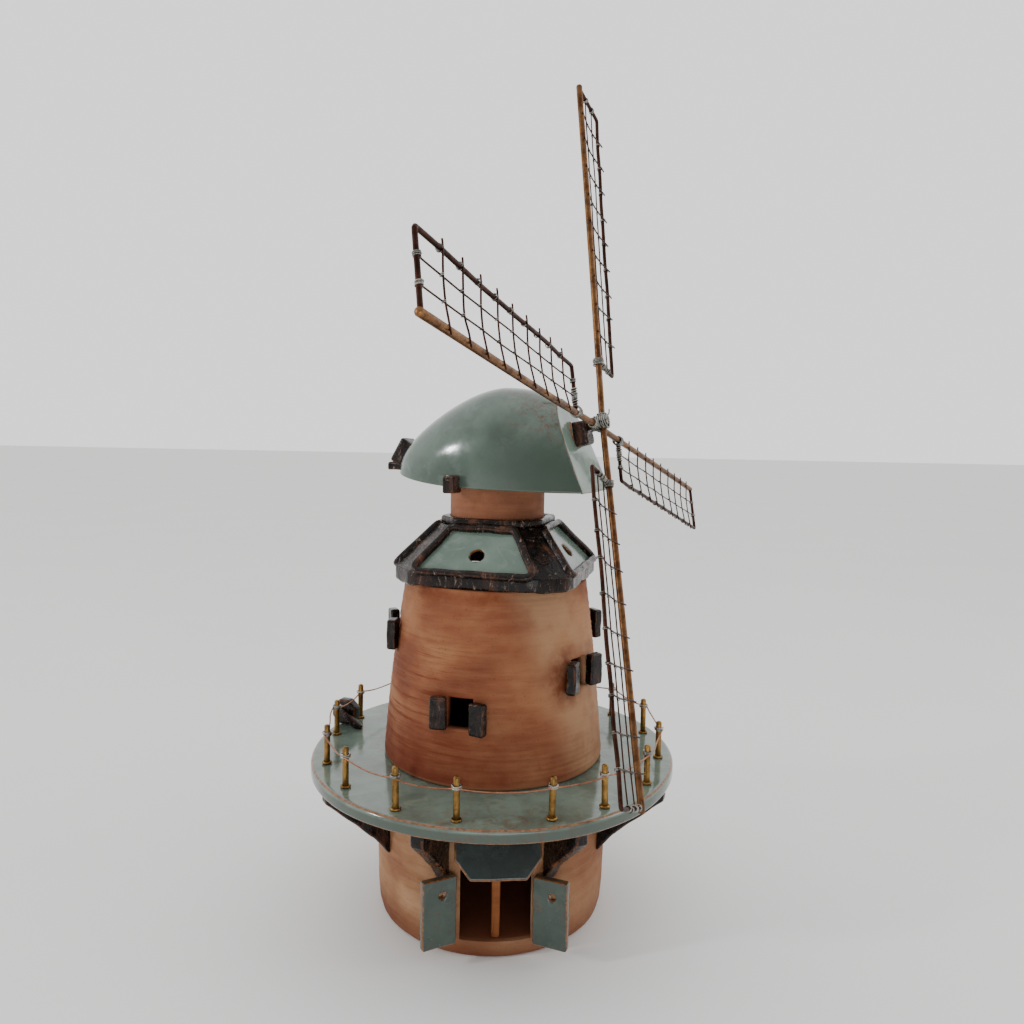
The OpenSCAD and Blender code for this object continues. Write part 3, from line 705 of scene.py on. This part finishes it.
# ---------- fence ----------
posts, feet, ties = Bag(), Bag(), Bag()
grips = []
for a in POST_AZ:
    M = place(rot(z=a), (0, -POST_RING, DECK))
    lean = rng.normal(0, 0.35, 2)
    h = POST_H * (1 + rng.normal(0, 0.015))
    path = [(0, 0, 0.2)] + [(lean[0] * f, lean[1] * f, h * g) for f, g in ((0.3, 0.35), (0.7, 0.7), (1, 1))]
    tube(posts, at(M, path), POST_R, 24, tone=rng.uniform(0.1, 0.5))
    th, collar = np.linspace(0, 2 * math.pi, 40, endpoint=False), POST_R + 0.55
    ring = np.stack([collar * np.cos(th), collar * np.sin(th), np.full(40, 0.9)], 1)
    tube(feet, at(M, ring), 0.85, 12, closed=True, tone=0.2)
    z = RAIL_H + rng.normal(0, 0.25)
    gx, gy = lean * z / h
    wind(ties, M, (gx, gy, z - 0.9), (gx, gy, z + 0.9), POST_R + 0.6, 3.2, 0.58, 8, 20,
         rng.uniform(0, 6), 0.06, 0.2)
    # the twisted ends of the tie stick out
    way = rng.uniform(0, 6.28)
    ends = [(gx + (POST_R + d) * math.cos(way + b), gy + (POST_R + d) * math.sin(way + b), z + up)
            for d, b, up in ((0.4, 0, 0), (1.7, 0.2, 0.5))]
    tube(ties, at(M, spline(ends, 6)), 0.4, 8, tone=0.3)
    grips.append(at(M, (gx, gy, z)))
posts.build("fence_posts_look", "mill", MAT_BRASS, "brass_rod", ["fence_posts"])
feet.build("post_feet_look", "mill", MAT_BRASS, "brass_rod", ["post_feet"])
ties.build("rail_ties_look", "mill", MAT_TIE, "tie_wire", ["rail_ties"])


def stand_off(p, d):
    """The point p moved away from the middle line by d."""
    return p * (1 + d / np.linalg.norm(p[:2]) * np.array([1, 1, 0]))


# the rail: from grip to grip a line with a parabola's sag and a slow sideways wave
bag = Bag()
t = np.linspace(0, 1, 22)
for i in range(16):
    p, q = stand_off(grips[i], POST_R + 0.5), stand_off(grips[(i + 1) % 16], POST_R + 0.5)
    if i == 0:
        # the first length hangs outside its posts
        p, q = grips[0] + np.array([-0.5, -2.4, 0]), grips[1] + np.array([1.0, -2.2, 0])
    L = np.linalg.norm(q - p)
    line = p * (1 - t[:, None]) + q * t[:, None]
    line[:, 2] -= (0.05 * L + rng.uniform(-0.4, 0.8)) * 4 * t * (1 - t)
    wave = rng.normal(0, 0.35) * np.sin(2 * math.pi * t) + rng.normal(0, 0.25) * np.sin(3 * math.pi * t)
    line += np.cross((q - p) / L, [0, 0, 1.0]) * wave[:, None]
    tube(bag, line, 0.5, 8, tone=0.2 if i > 2 else 0.45)
bag.build("rail_wire_look", "mill", MAT_RAIL, "copper_wire", ["rail_wire"])

# ---------- winch ----------
IN_WINCH = place(rot(z=-112.5), (0, -(STAGE_R - 7), DECK))
bag = Bag()
wheel = [(10.7 * math.cos(a), 10.1 + 10.3 * math.sin(a)) for a in np.radians(np.arange(22.5, 382.5, 45))]
slab(bag, wheel, 9.5, 2.4, place(IN_WINCH, (-4.75, 0, 0), UPRIGHT), rc=3.0, m=120, amp=0.35, size=14, seed=41)
boss = [(3 * math.cos(a), 10.4 + 3 * math.sin(a)) for a in np.radians(np.arange(0, 360, 30))]
slab(bag, boss, 2.6, 0.9, place(IN_WINCH, (4.4, 0, 0), UPRIGHT), rc=1, m=48, amp=0.15, seed=42)
bag.build("winch_wheel_look", "mill", MAT_SHUTTER, "dark_glaze", ["winch_wheel"])
slab_piece("winch_strut", MAT_DARK, "dark_glaze", [(11, 0.1), (17.5, 0.1), (17.8, 2.6), (4, 12.6), (1.5, 9)],
           4, 1.2, place(IN_WINCH, (5.2, 0, 0), UPRIGHT), rc=1.2, m=96, amp=0.25, size=12, seed=43)


# ---------- tower ----------
def tower_rad(z):
    """The tower's outer radius at height z: a straight taper with a half sine wave's swell."""
    return TOWER_R + (TOWER_TOP - TOWER_R) * (z - DECK) / TOWER_H + 1.3 * np.sin(np.pi * (z - DECK) / TOWER_H)


def tower_angles(win):
    """Whole degrees round the tower and each window's two sides, without the degrees that crowd a side."""
    sides = [(x + 180) % 360 - 180 for w in win for x in w[:2]]
    whole = [(x + 180) % 360 - 180 for x in np.linspace(-180, 180, 361)[:-1]]
    ang = np.array(sorted(set(np.round(whole + sides, 4))))
    gap = np.array([min(abs((a - b + 180) % 360 - 180) for b in sides) for a in ang])
    return ang[(gap <= 1e-3) | (gap >= 0.45)]


def tower():
    """A thrown wall: a ring of points at each height, its radius the part's profile plus shallow throwing
    rings that climb as a spiral. Each window leaves cells out and is lined through the wall."""
    win = []
    for a, z in WINDOWS.values():
        h = math.degrees(math.asin(WINDOW_W / 2 / float(tower_rad(z))))
        win.append((a - h, a + h, z - WINDOW_H / 2, z + WINDOW_H / 2))
    ang = tower_angles(win)
    zs = np.arange(DECK, EAVE_Z + 0.01, 1.0)
    A, Z = np.meshgrid(np.radians(ang), zs)
    foot = np.clip((Z - DECK) / 4.0, 0, 1)
    R = tower_rad(Z) - 2.2 * (1 - np.sqrt(1 - (1 - foot) ** 2)) * (foot < 1)
    R = R + 0.16 * np.sin(2 * math.pi * Z / 3.4 + A) * (0.5 + 0.5 * np.sin(A * 2 + Z / 17))
    R = R + 0.10 * np.sin(2 * math.pi * Z / 7.3 + A + 1)
    R = R + 0.35 * np.sin(2 * A + 0.5) * np.sin(Z / 60) + 0.18 * np.sin(3 * A + Z / 25)
    Ri = tower_rad(Z) - WALL
    out = np.stack([R * np.sin(A), -R * np.cos(A), Z], -1)
    inn = np.stack([Ri * np.sin(A), -Ri * np.cos(A), Z], -1)
    nz, na = Z.shape
    n = nz * na
    # the cells left out: those whose middle lies in a window
    ca = (ang + np.roll(ang, -1)) / 2
    ca[-1] = ang[-1] + ((ang[0] - ang[-1]) % 360) / 2
    cz = (zs[1:] + zs[:-1]) / 2
    hole = np.zeros((nz - 1, na), bool)
    for a0, a1, z0, z1 in win:
        hole |= (((ca - a0) % 360) < (a1 - a0))[None, :] & ((cz > z0) & (cz < z1))[:, None]
    q = grid_quads(nz, na).reshape(nz - 1, na, 4)
    faces = q[~hole].tolist()
    faces += [[x + n for x in f[::-1]] for f in faces]
    # the lining, on each side of a left-out cell that meets the wall
    for i, j in np.argwhere(hole):
        a, b, c, d = q[i, j].tolist()
        for p0, p1, wall in ((a, b, i == 0 or not hole[i - 1, j]), (c, d, i == nz - 2 or not hole[i + 1, j]),
                             (b, c, not hole[i, (j + 1) % na]), (d, a, not hole[i, j - 1])):
            if wall:
                faces.append([p0, p1, p1 + n, p0 + n])
    # the rings that close the wall below and above
    last = (nz - 1) * na
    for j in range(na):
        k = (j + 1) % na
        faces += [[k, j, j + n, k + n], [last + j, last + k, last + k + n, last + j + n]]
    bag = Bag()
    bag.add(np.concatenate([out.reshape(-1, 3), inn.reshape(-1, 3)]), faces)
    return bag


tower().build("tower_wall_look", "mill", MAT_TOWER, "clay_wall", ["tower_wall"])

# each shutter is hinged just inside its window's edge and sunk a little into the wall; some have slipped down
SUNK = 2.4
SLIP = {("low", 1): -1.6, ("mid", -1): -0.8, ("left", 1): -1.5}
hinge = WINDOW_W / 2 - 0.8
for name, (a, z) in WINDOWS.items():
    bag = Bag()
    y = -(math.sqrt(float(tower_rad(z - WINDOW_H / 2)) ** 2 - hinge * hinge) + 0.25)
    for s in (-1, 1):
        M = place(rot(z=a), (s * hinge, y, z), rot(z=-s * SHUTTER_SWING), (0, 0, -WINDOW_H / 2), rot(x=90),
                  (0, 0, -SUNK))
        dz = SLIP.get((name, s), 0.0)
        pts = [(0, dz), (s * SHUTTER_W, dz + 0.5), (s * SHUTTER_W, WINDOW_H + dz), (0, WINDOW_H + 0.2 + dz)]
        slab(bag, pts, SHUTTER_T, 1.5, M, rc=1.8, m=80, amp=0.3, size=12, seed=60 + int(a) % 50 + s)
    bag.build("shutters_%s_look" % name, "mill", MAT_SHUTTER, "dark_glaze", ["shutters_" + name])

# ---------- skirt roof ----------
rise, run = CROWN_Z - SLOPE_Z, EAVE_A - TOP_A
slope, slant = math.degrees(math.atan2(rise, run)), math.hypot(rise, run)


def on_slope(k, lift=0.0):
    """The frame of roof side k: x across it, y up its slope from the eave, z out of it, raised by lift."""
    return place((SKIRT_X, 0, 0), rot(z=SKIRT_AZ + 90 * k), (0, -EAVE_A, SLOPE_Z), rot(x=slope), (0, 0, lift))


def eave_drip(pr, t):
    """The band's lower edge wanders and sags in places, as a hand-laid coil does."""
    low = np.clip((EAVE_T - pr[..., 1]) / EAVE_T, 0, 1)
    a = t * 2 * math.pi
    return low * (0.35 * np.sin(7 * a + 1) + 0.3 * np.sin(13 * a + 0.4) + 0.25 * np.sin(29 * a))


bag = Bag()
o = round_poly(ring_pts(EAVE_A - 1.5, EAVE_W - 0.8, 3), 3.0, 360)
sweep_ring(bag, o, box_profile(-6, 1.7, 0.2, EAVE_T + 0.4, 1.9), place((SKIRT_X, 0, EAVE_Z), rot(z=SKIRT_AZ)),
           0.35, 22, 71, drip=eave_drip)
bag.build("skirt_eave_look", "mill", MAT_DARK, "dark_glaze", ["skirt_eave"])
bag = Bag()
o = round_poly(ring_pts(TOP_A - 1.4, TOP_W - 0.5, 1.6), 2.5, 240)
sweep_ring(bag, o, box_profile(-7.0, 0.0, 0.1, 5.4, 1.9), place((SKIRT_X, 0, CROWN_Z), rot(z=SKIRT_AZ)),
           0.4, 30, 72)
bag.build("skirt_rail_look", "mill", MAT_DARK, "dark_glaze", ["skirt_rail"])
panels, borders = Bag(), Bag()
for k in range(4):
    pts = [(-EAVE_W + 1.4, 2.4), (EAVE_W - 1.4, 2.4), (TOP_W - 0.2, slant - 2.0), (-TOP_W + 0.2, slant - 2.0)]
    slab(panels, pts, 3.4, 0.6, on_slope(k, -5.4), rc=1, hole=(0, slant * 0.44, 4.9), m=160, amp=0.12,
         size=40, seed=75 + k)
    pts = [(-EAVE_W + 2.6, 2.4), (EAVE_W - 2.6, 2.4), (TOP_W - 0.6, slant - 2.6), (-TOP_W + 0.6, slant - 2.6)]
    sweep_ring(borders, round_poly(pts, 2.5, 260), box_profile(-0.5, 4.4, -3.5, 2.2, 2.0), on_slope(k),
               0.5, 26, 170 + k)
panels.build("skirt_panels_look", "mill", MAT_PANEL, "green_glaze", ["skirt_panels"])
borders.build("skirt_borders", "mill", MAT_DARK, "dark_glaze")
soften(paint("skirt_frame", MAT_DARK), 1.0)
paint("neck_ring", MAT_NECK)


# ---------- cap ----------
def swell(s, power, least, front):
    """How full the cap is at station s, from 0 to 1. Behind the widest station it is a quarter of an oval
    whose two shares to that power add up to 1; ahead of it, a quarter circle that would close at front."""
    t = np.abs((CAP_MID - s) / (CAP_MID + CAP_BACK))
    tail = np.maximum(1 - t ** power, least) ** (1 / power)
    nose = np.sqrt(np.maximum(1 - ((s - CAP_MID) / front) ** 2, 0))
    return np.where(s < CAP_MID, tail, nose)


def cap():
    """The cap's skin. At each station from tail to face stands an arch, its width and height swelling to a
    widest point, closed below by a flat keel. The face is drawn in from the last arch over a small round
    edge. The second value is how many vertices come before the face."""
    nu, nt, nb = 110, 120, 40
    m = nt + nb
    tilt = math.radians(FACE_TILT)
    # the last stations lie close together, which keeps the worn line at the edge thin
    u = np.concatenate([np.linspace(0, 1, nu - 2)[:-1], [0.9962, 0.9988, 1.0]])
    g = 1 - np.cos(math.pi / 2 * u)
    s = -CAP_BACK + (CAP_FRONT + CAP_BACK) * g
    high, wide = swell(s, 1.66, 0.003, 98), swell(s, 2.46, 0.001, 70)
    lift = np.where(s < CAP_MID, TAIL_LIFT * np.abs((CAP_MID - s) / (CAP_MID + CAP_BACK)) ** 2.95, 0)
    # even spacing along the arch needs the angle eased near the foot, where the height rises steeply
    w = np.linspace(0, 1, nt)
    t = math.pi * (w - 0.14 * np.sin(2 * math.pi * w))
    x = CAP_W * wide[:, None] * np.cos(t)
    z = lift[:, None] + CAP_H * high[:, None] * np.sin(np.clip(t, 0, math.pi)) ** 0.7
    arch = np.stack([x, s[:, None] - math.tan(tilt) * z * g[:, None], z], -1)
    f = np.linspace(0, 1, nb + 2)[1:-1]
    keel = arch[:, -1:] * (1 - f)[None, :, None] + arch[:, :1] * f[None, :, None]
    loop = np.concatenate([arch, keel], 1)
    # the face: a round edge of radius r, then rings drawn in to a point below its middle
    last, r = loop[-1], 1.1
    mid_z = 0.42 * CAP_H
    middle = np.array([0, CAP_FRONT - math.tan(tilt) * mid_z, mid_z])
    ahead = np.array([0, math.cos(tilt), math.sin(tilt)])
    inward = (middle - last) / np.linalg.norm(middle - last, axis=1)[:, None]
    rings, edge = [], []
    for a in np.radians([0, 22, 45, 68, 90]):
        rings.append(last + inward * r * (1 - math.cos(a)) + ahead * (r * math.sin(a) - r))
        edge.append(np.full(m, 1.0 if a < 1.0 else 0.3))
    for f in (0.05, 0.15, 0.3, 0.5, 0.7, 0.85, 0.97):
        rings.append((last + inward * r) * (1 - f) + middle * f)
        edge.append(np.zeros(m))
    wear = np.zeros((nu - 1, m))
    wear[:, [0, nt - 1]] = 0.7
    wear[-1] = 0.75
    v = wobble(np.concatenate([loop[:-1].reshape(-1, 3)] + rings), 0.28, 55, 81)
    n = len(v) // m
    bag = Bag()
    bag.add(at(IN_CAP, v), grid_quads(n, m)[:, ::-1], [list(range(m)), list(range((n - 1) * m, n * m))[::-1]],
            edge=np.concatenate([wear.reshape(-1)] + edge))
    return bag, (nu + 2) * m


bag, split = cap()
o = bag.build("cap_look", "mill", MAT_CAP, "green_glaze", ["cap_shell", "cap_face"])
o.data.materials.append(MAT_FACE)
first = np.array([p.vertices[0] for p in o.data.polygons])
o.data.polygons.foreach_set("material_index", (first >= split).astype(np.int32))

slab_piece("tail_block", MAT_DARK, "dark_glaze", rect(-8.6, 8.6, -8.6, 6.4), 19, 1.7,
           place(IN_CAP, (0, -CAP_BACK + 1, 17), rot(x=-30), (0, 0, -5)),
           rc=1.6, m=96, amp=0.35, size=16, seed=91)
slab_piece("tail_bar", MAT_DARK, "dark_glaze", rect(-8.5, 8.5, 0, 17), 6, 1.5,
           place(IN_CAP, (0, -CAP_BACK - 10.5, 9.5)), rc=1.5, m=96, amp=0.3, size=14, seed=92)
bag = Bag()
for s, x in ((-1, -47), (1, 34.5)):
    slab(bag, rect(x, x + 12.5, -19.5, -11.5), 11.5, 1.4, place(IN_CAP, (0, 0, -2.8)),
         rc=1.2, m=80, amp=0.25, size=12, seed=93 + s)
bag.build("cross_beams_look", "mill", MAT_DARK, "dark_glaze", ["cross_beams"])
slab_piece("shaft_collar", MAT_FACE, "green_glaze", rect(-9.2, 9.2, -9.2, 9.2), 5.2, 1.4,
           place(ON_SHAFT, (0, -3.6, 53)), rc=4, m=96, amp=0.25, size=12, seed=95)
slab_piece("shaft_block", MAT_SHUTTER, "dark_glaze", rect(-8.3, 8.3, -8.3, 8.3), 10.4, 2.1,
           place(ON_SHAFT, (0, -3.6, 57.0)), rc=3.2, m=96, amp=0.3, size=10, seed=96)

# ---------- sails ----------
bag = Bag()
tube(bag, at(ON_SHAFT, [(0, 0, z) for z in np.linspace(45, HUB_D - 4.6, 6)]), 2.4, 24)
bag.build("windshaft_look", "sails", MAT_FRAME, "copper_rod", ["windshaft"])

# the stocks: rods with a slight bend, each with its own tarnish
STOCK_TONE = [0.25, 0.45, 0.65, 0.1]
for pair, name in (((0, 2), "stock_upright"), ((1, 3), "stock_level")):
    bag = Bag()
    for k in pair:
        y = np.linspace(-3 if k < 2 else 0, ARM_L - 0.6, 30)
        bend = 0.35 * np.sin(y / ARM_L * math.pi * 1.5 + k)
        bend[0] = 0
        rod = np.stack([bend, y, 0.3 * np.sin(y / 90 + k)], 1)
        tube(bag, at(arm(k), rod), STOCK_R, 20, tone=STOCK_TONE[k])
    bag.build(name + "_look", "sails", MAT_STOCK, "brass_rod", [name])


def frame_path(g):
    """A rod bent round three sides of a sail: out from the stock, along the sail with a slight wander, and
    back to the stock, with its tip bent in."""
    corner, n = 3.0, 9
    p = [(STOCK_R + 0.3, SAIL_IN, 0), (SAIL_W0 * 0.5, SAIL_IN - 1.6, 0), (SAIL_W0 - corner, SAIL_IN - 2.9, 0),
         (SAIL_W0 - 0.4, SAIL_IN - 2.2, 0), (SAIL_W0 + 0.1, SAIL_IN + corner, 0)]
    for i in range(1, n):
        f = i / n
        p.append((SAIL_W0 + (SAIL_W1 - SAIL_W0) * f + g.normal(0, 0.2),
                  SAIL_IN - 3 + (SAIL_OUT - SAIL_IN + 1) * f, g.normal(0, 0.25)))
    p += [(SAIL_W1, SAIL_OUT - 2 - corner, 0), (SAIL_W1 - 0.5, SAIL_OUT - 2.4, 0),
          (SAIL_W1 - corner, SAIL_OUT - 1.7, 0), (SAIL_W1 * 0.5, SAIL_OUT - 0.6, 0),
          (3.5, SAIL_OUT + 0.6, 0), (1.2, SAIL_OUT + 0.2, 0), (0.5, SAIL_OUT - 2.5, 0)]
    return spline(p, 12 * len(p))


ties = Bag()
for k, letter in enumerate("abcd"):
    A, g, r = arm(k), np.random.default_rng(200 + k), FRAME_R
    bag = Bag()
    tube(bag, at(A, frame_path(g)), r, 14, tone=g.uniform(0.3, 0.8))
    bag.build("frame_%s_look" % letter, "sails", MAT_FRAME, "copper_rod", ["frame_" + letter])
    # the lattice: nine wires across and two along, each a little bent
    bag = Bag()
    across = []
    for i in range(1, 10):
        f = i / 10
        y = SAIL_IN + (SAIL_OUT - SAIL_IN) * f + g.normal(0, 0.7)
        w = SAIL_W0 + (SAIL_W1 - SAIL_W0) * f
        dy = -2.4 * f - 0.6 + g.normal(0, 0.5)
        xs = np.array([-STOCK_R - 0.8, 4, w * 0.34, w * 0.67, w, w + r + 1.6 + g.uniform(0, 1.4)])
        jog = np.array([0, g.normal(0, 0.2), g.normal(0, 0.3), g.normal(0, 0.3), 0, g.normal(0, 0.15)])
        pts = np.stack([xs, y + dy * xs / w + jog, [STOCK_R + 0.2, 1.5, 0.6, 0.6, r + 0.3, r + 0.4]], 1)
        tube(bag, at(A, spline(pts, 40)), 0.5, 8, tone=g.uniform(0.2, 0.9))
        across.append(pts)
    for j, f in ((2, 0.34), (3, 0.67)):
        pts = [(SAIL_W0 * f, SAIL_IN - 3 * f + 0.2, -0.2)]
        pts += [(p[j][0] + g.normal(0, 0.25), p[j][1], -0.5) for p in across]
        pts.append((SAIL_W1 * f, SAIL_OUT - 2 * f, -0.2))
        tube(bag, at(A, spline(pts, 110)), 0.45, 8, tone=g.uniform(0.2, 0.8))
        for x, y, _ in (pts[0], pts[-1]):
            wind(ties, A, (x - 1.1, y + 0.1, 0), (x + 1.1, y - 0.1, 0), r + 0.35, 3, 0.36, 6, 14,
                 g.uniform(0, 6), 0.08)
    bag.build("lattice_%s_look" % letter, "sails", MAT_WIRE, "copper_wire", ["lattice_" + letter])
    # a twist of tie wire at each crossing, and one where each wire meets the frame
    for pts in across:
        for x, y, _ in (pts[2], pts[3]):
            wind(ties, A, (x - 0.5, y, 0), (x + 0.5, y + 0.3, 0), 0.95, 1.6, 0.28, 6, 12,
                 g.uniform(0, 6), 0.1, g.uniform(0.3, 1))
        x, y, _ = pts[4]
        wind(ties, A, (x, y - 0.8, 0), (x + 0.2, y + 0.8, 0), r + 0.35, 1.8, 0.33, 6, 14,
             g.uniform(0, 6), 0.08, g.uniform(0.5, 1))
    # the frame's end is bound to the stock, and the inner cross rod is wound with wire
    wind(ties, A, (0.6, SAIL_IN - 2.4, 0), (0.6, SAIL_IN + 2.2, 0), STOCK_R + 1.15, 5, 0.42, 8, 18,
         g.uniform(0, 6), 0.06)
    wind(ties, A, (STOCK_R + 0.8, SAIL_IN - 0.1, 0), (SAIL_W0 * 0.52, SAIL_IN - 1.7, 0), r + 0.4, 8,
         0.38, 6, 14, 0.5, 0.1)
    if letter == "c":
        # the lower sail has three more ties on its outer cross rod
        for x in (6, 14, 22):
            wind(ties, A, (x - 1.2, SAIL_OUT - 0.4, 0), (x + 1.2, SAIL_OUT - 0.6, 0), r + 0.4, 3, 0.36, 6, 14,
                 x, 0.1)
ties.build("sail_ties", "sails", MAT_TIE, "tie_wire")

# the binding that holds the two stocks to the shaft, a winding on three of the arms, and a loose end
bag = Bag()
H = HUB_D
wind(bag, ON_SHAFT, (0.1, 1.2, H - 3.4), (0.3, 1.2, H + 6.6), 4.3, 7, 0.75, 8, 22, 1.0, 0.05)
wind(bag, ON_SHAFT, (0, 0, H - 5.8), (0.1, -0.3, H + 3.5), 3.6, 5, 0.7, 8, 22, 2.0, 0.06)
wind(bag, arm(3), (0, 3.2, 0), (0, 9.5, 0), STOCK_R + 0.7, 5, 0.5)
wind(bag, arm(1), (0, 3.4, 0.4), (0, 7.5, 0.2), STOCK_R + 0.7, 3, 0.5)
wind(bag, arm(0), (0, 3.0, 0), (0, 7.4, 0), STOCK_R + 0.7, 4, 0.5)
tube(bag, at(ON_SHAFT, spline([(1.5, 4.8, H + 6.2), (2.2, 6.4, H + 7.4), (2.0, 8.6, H + 8.0)], 16)), 0.5, 8)
bag.build("hub_binding_look", "sails", MAT_TIE, "tie_wire", ["hub_binding"])

# ---------- studio ----------
FLOOR_HALF = 15                # metres, so that its far edge is never near
me = bpy.data.meshes.new("floor")
corners = [(x, y, 0) for x, y in rect(-FLOOR_HALF, FLOOR_HALF, -FLOOR_HALF, FLOOR_HALF)]
me.from_pydata(corners, [], [(0, 1, 2, 3)])
floor = bpy.data.objects.new("floor", me)
bpy.context.scene.collection.objects.link(floor)
paper = Mat("studio_paper")
mottle = paper.ramp(paper.noise(300, 2), (0.3, 0.0), (0.7, 1.0))
me.materials.append(paper.out(Base_Color=paper.mix(mottle, lin("F2F2F0"), lin("EFEFEE")), Roughness=0.9))

world = bpy.data.worlds.new("studio")
bpy.context.scene.world = world
world.use_nodes = True
wt = world.node_tree
sky = wt.nodes.new("ShaderNodeSeparateXYZ")
wt.links.new(wt.nodes.new("ShaderNodeTexCoord").outputs["Generated"], sky.inputs[0])


def sky_map(sock, a, b, lo, hi):
    """lo where the socket is a, hi where it is b, smooth between."""
    n = wt.nodes.new("ShaderNodeMapRange")
    n.interpolation_type = "SMOOTHSTEP"
    wt.links.new(sock, n.inputs["Value"])
    for name, value in zip(("From Min", "From Max", "To Min", "To Max"), (a, b, lo, hi)):
        n.inputs[name].default_value = value
    return n.outputs["Result"]


def larger(a, b):
    """The larger of two sockets."""
    n = wt.nodes.new("ShaderNodeMath")
    n.operation = "MAXIMUM"
    wt.links.new(a, n.inputs[0])
    wt.links.new(b, n.inputs[1])
    return n.outputs[0]


# a white room that is dimmer on the viewer's side, bright above and behind, and half bright on the left
behind = sky_map(sky.outputs[1], -0.55, 0.1, 0.34, 1.4)
above = sky_map(sky.outputs[2], 0.25, 0.8, 0.0, 1.0)
left = sky_map(sky.outputs[0], 0.1, -0.75, 0.0, 0.55)
wt.links.new(larger(larger(behind, above), left), wt.nodes["Background"].inputs["Strength"])
wt.nodes["Background"].inputs["Color"].default_value = (1.0, 1.0, 1.0, 1)


def matrix(R, p):
    """Blender's matrix for the turn R and the place p."""
    M = np.eye(4)
    M[:3, :3] = R
    M[:3, 3] = p
    return Matrix(M.tolist())


def area(name, loc, target, size, watts):
    """A white area light at loc, in metres, facing target."""
    d = bpy.data.lights.new(name, "AREA")
    d.shape = "RECTANGLE"
    d.size, d.size_y = size
    d.energy = watts
    o = bpy.data.objects.new(name, d)
    bpy.context.scene.collection.objects.link(o)
    z = np.array(loc, float) - np.array(target, float)
    z /= np.linalg.norm(z)
    x = np.cross([0, 0, 1.0], z)
    x /= np.linalg.norm(x)
    o.matrix_world = matrix(np.column_stack([x, np.cross(z, x), z]), loc)


# a small key from the left for crisp highlights, a low strip towards the door, and a soft fill on the right
area("key_left", (-1.9, -0.6, 0.9), (0, 0, 0.25), (0.14, 0.14), 11)
area("front_low", (0.1, -1.6, 0.2), (0, 0, 0.1), (1.4, 0.3), 5.5)
area("fill_right", (1.4, -0.3, 0.8), (0, 0, 0.25), (0.5, 0.9), 4)

# ---------- camera ----------
# where it stands in millimetres, how it looks from there in radians, and a turn of both about the mill
CAM_AT, CAM_TURN = np.array([0, -563.23, 332.5]), rot(z=-2.8)
YAW, PITCH, ROLL = 0.01836, 0.0922, 0.02065
LENS, SENSOR = 28.125, 36
fwd = np.array([math.sin(YAW) * math.cos(PITCH), math.cos(YAW) * math.cos(PITCH), -math.sin(PITCH)])
right = np.array([math.cos(YAW), -math.sin(YAW), 0])
up = np.cross(right, fwd)
across = math.cos(ROLL) * right + math.sin(ROLL) * up
upward = -math.sin(ROLL) * right + math.cos(ROLL) * up
cam_data = bpy.data.cameras.new("camera")
cam_data.lens = LENS
cam_data.sensor_width = SENSOR
cam_data.clip_start = 0.01
cam = bpy.data.objects.new("camera", cam_data)
bpy.context.scene.collection.objects.link(cam)
cam.matrix_world = matrix(CAM_TURN @ np.column_stack([across, upward, -fwd]), CAM_TURN @ CAM_AT * K)
bpy.context.scene.camera = cam
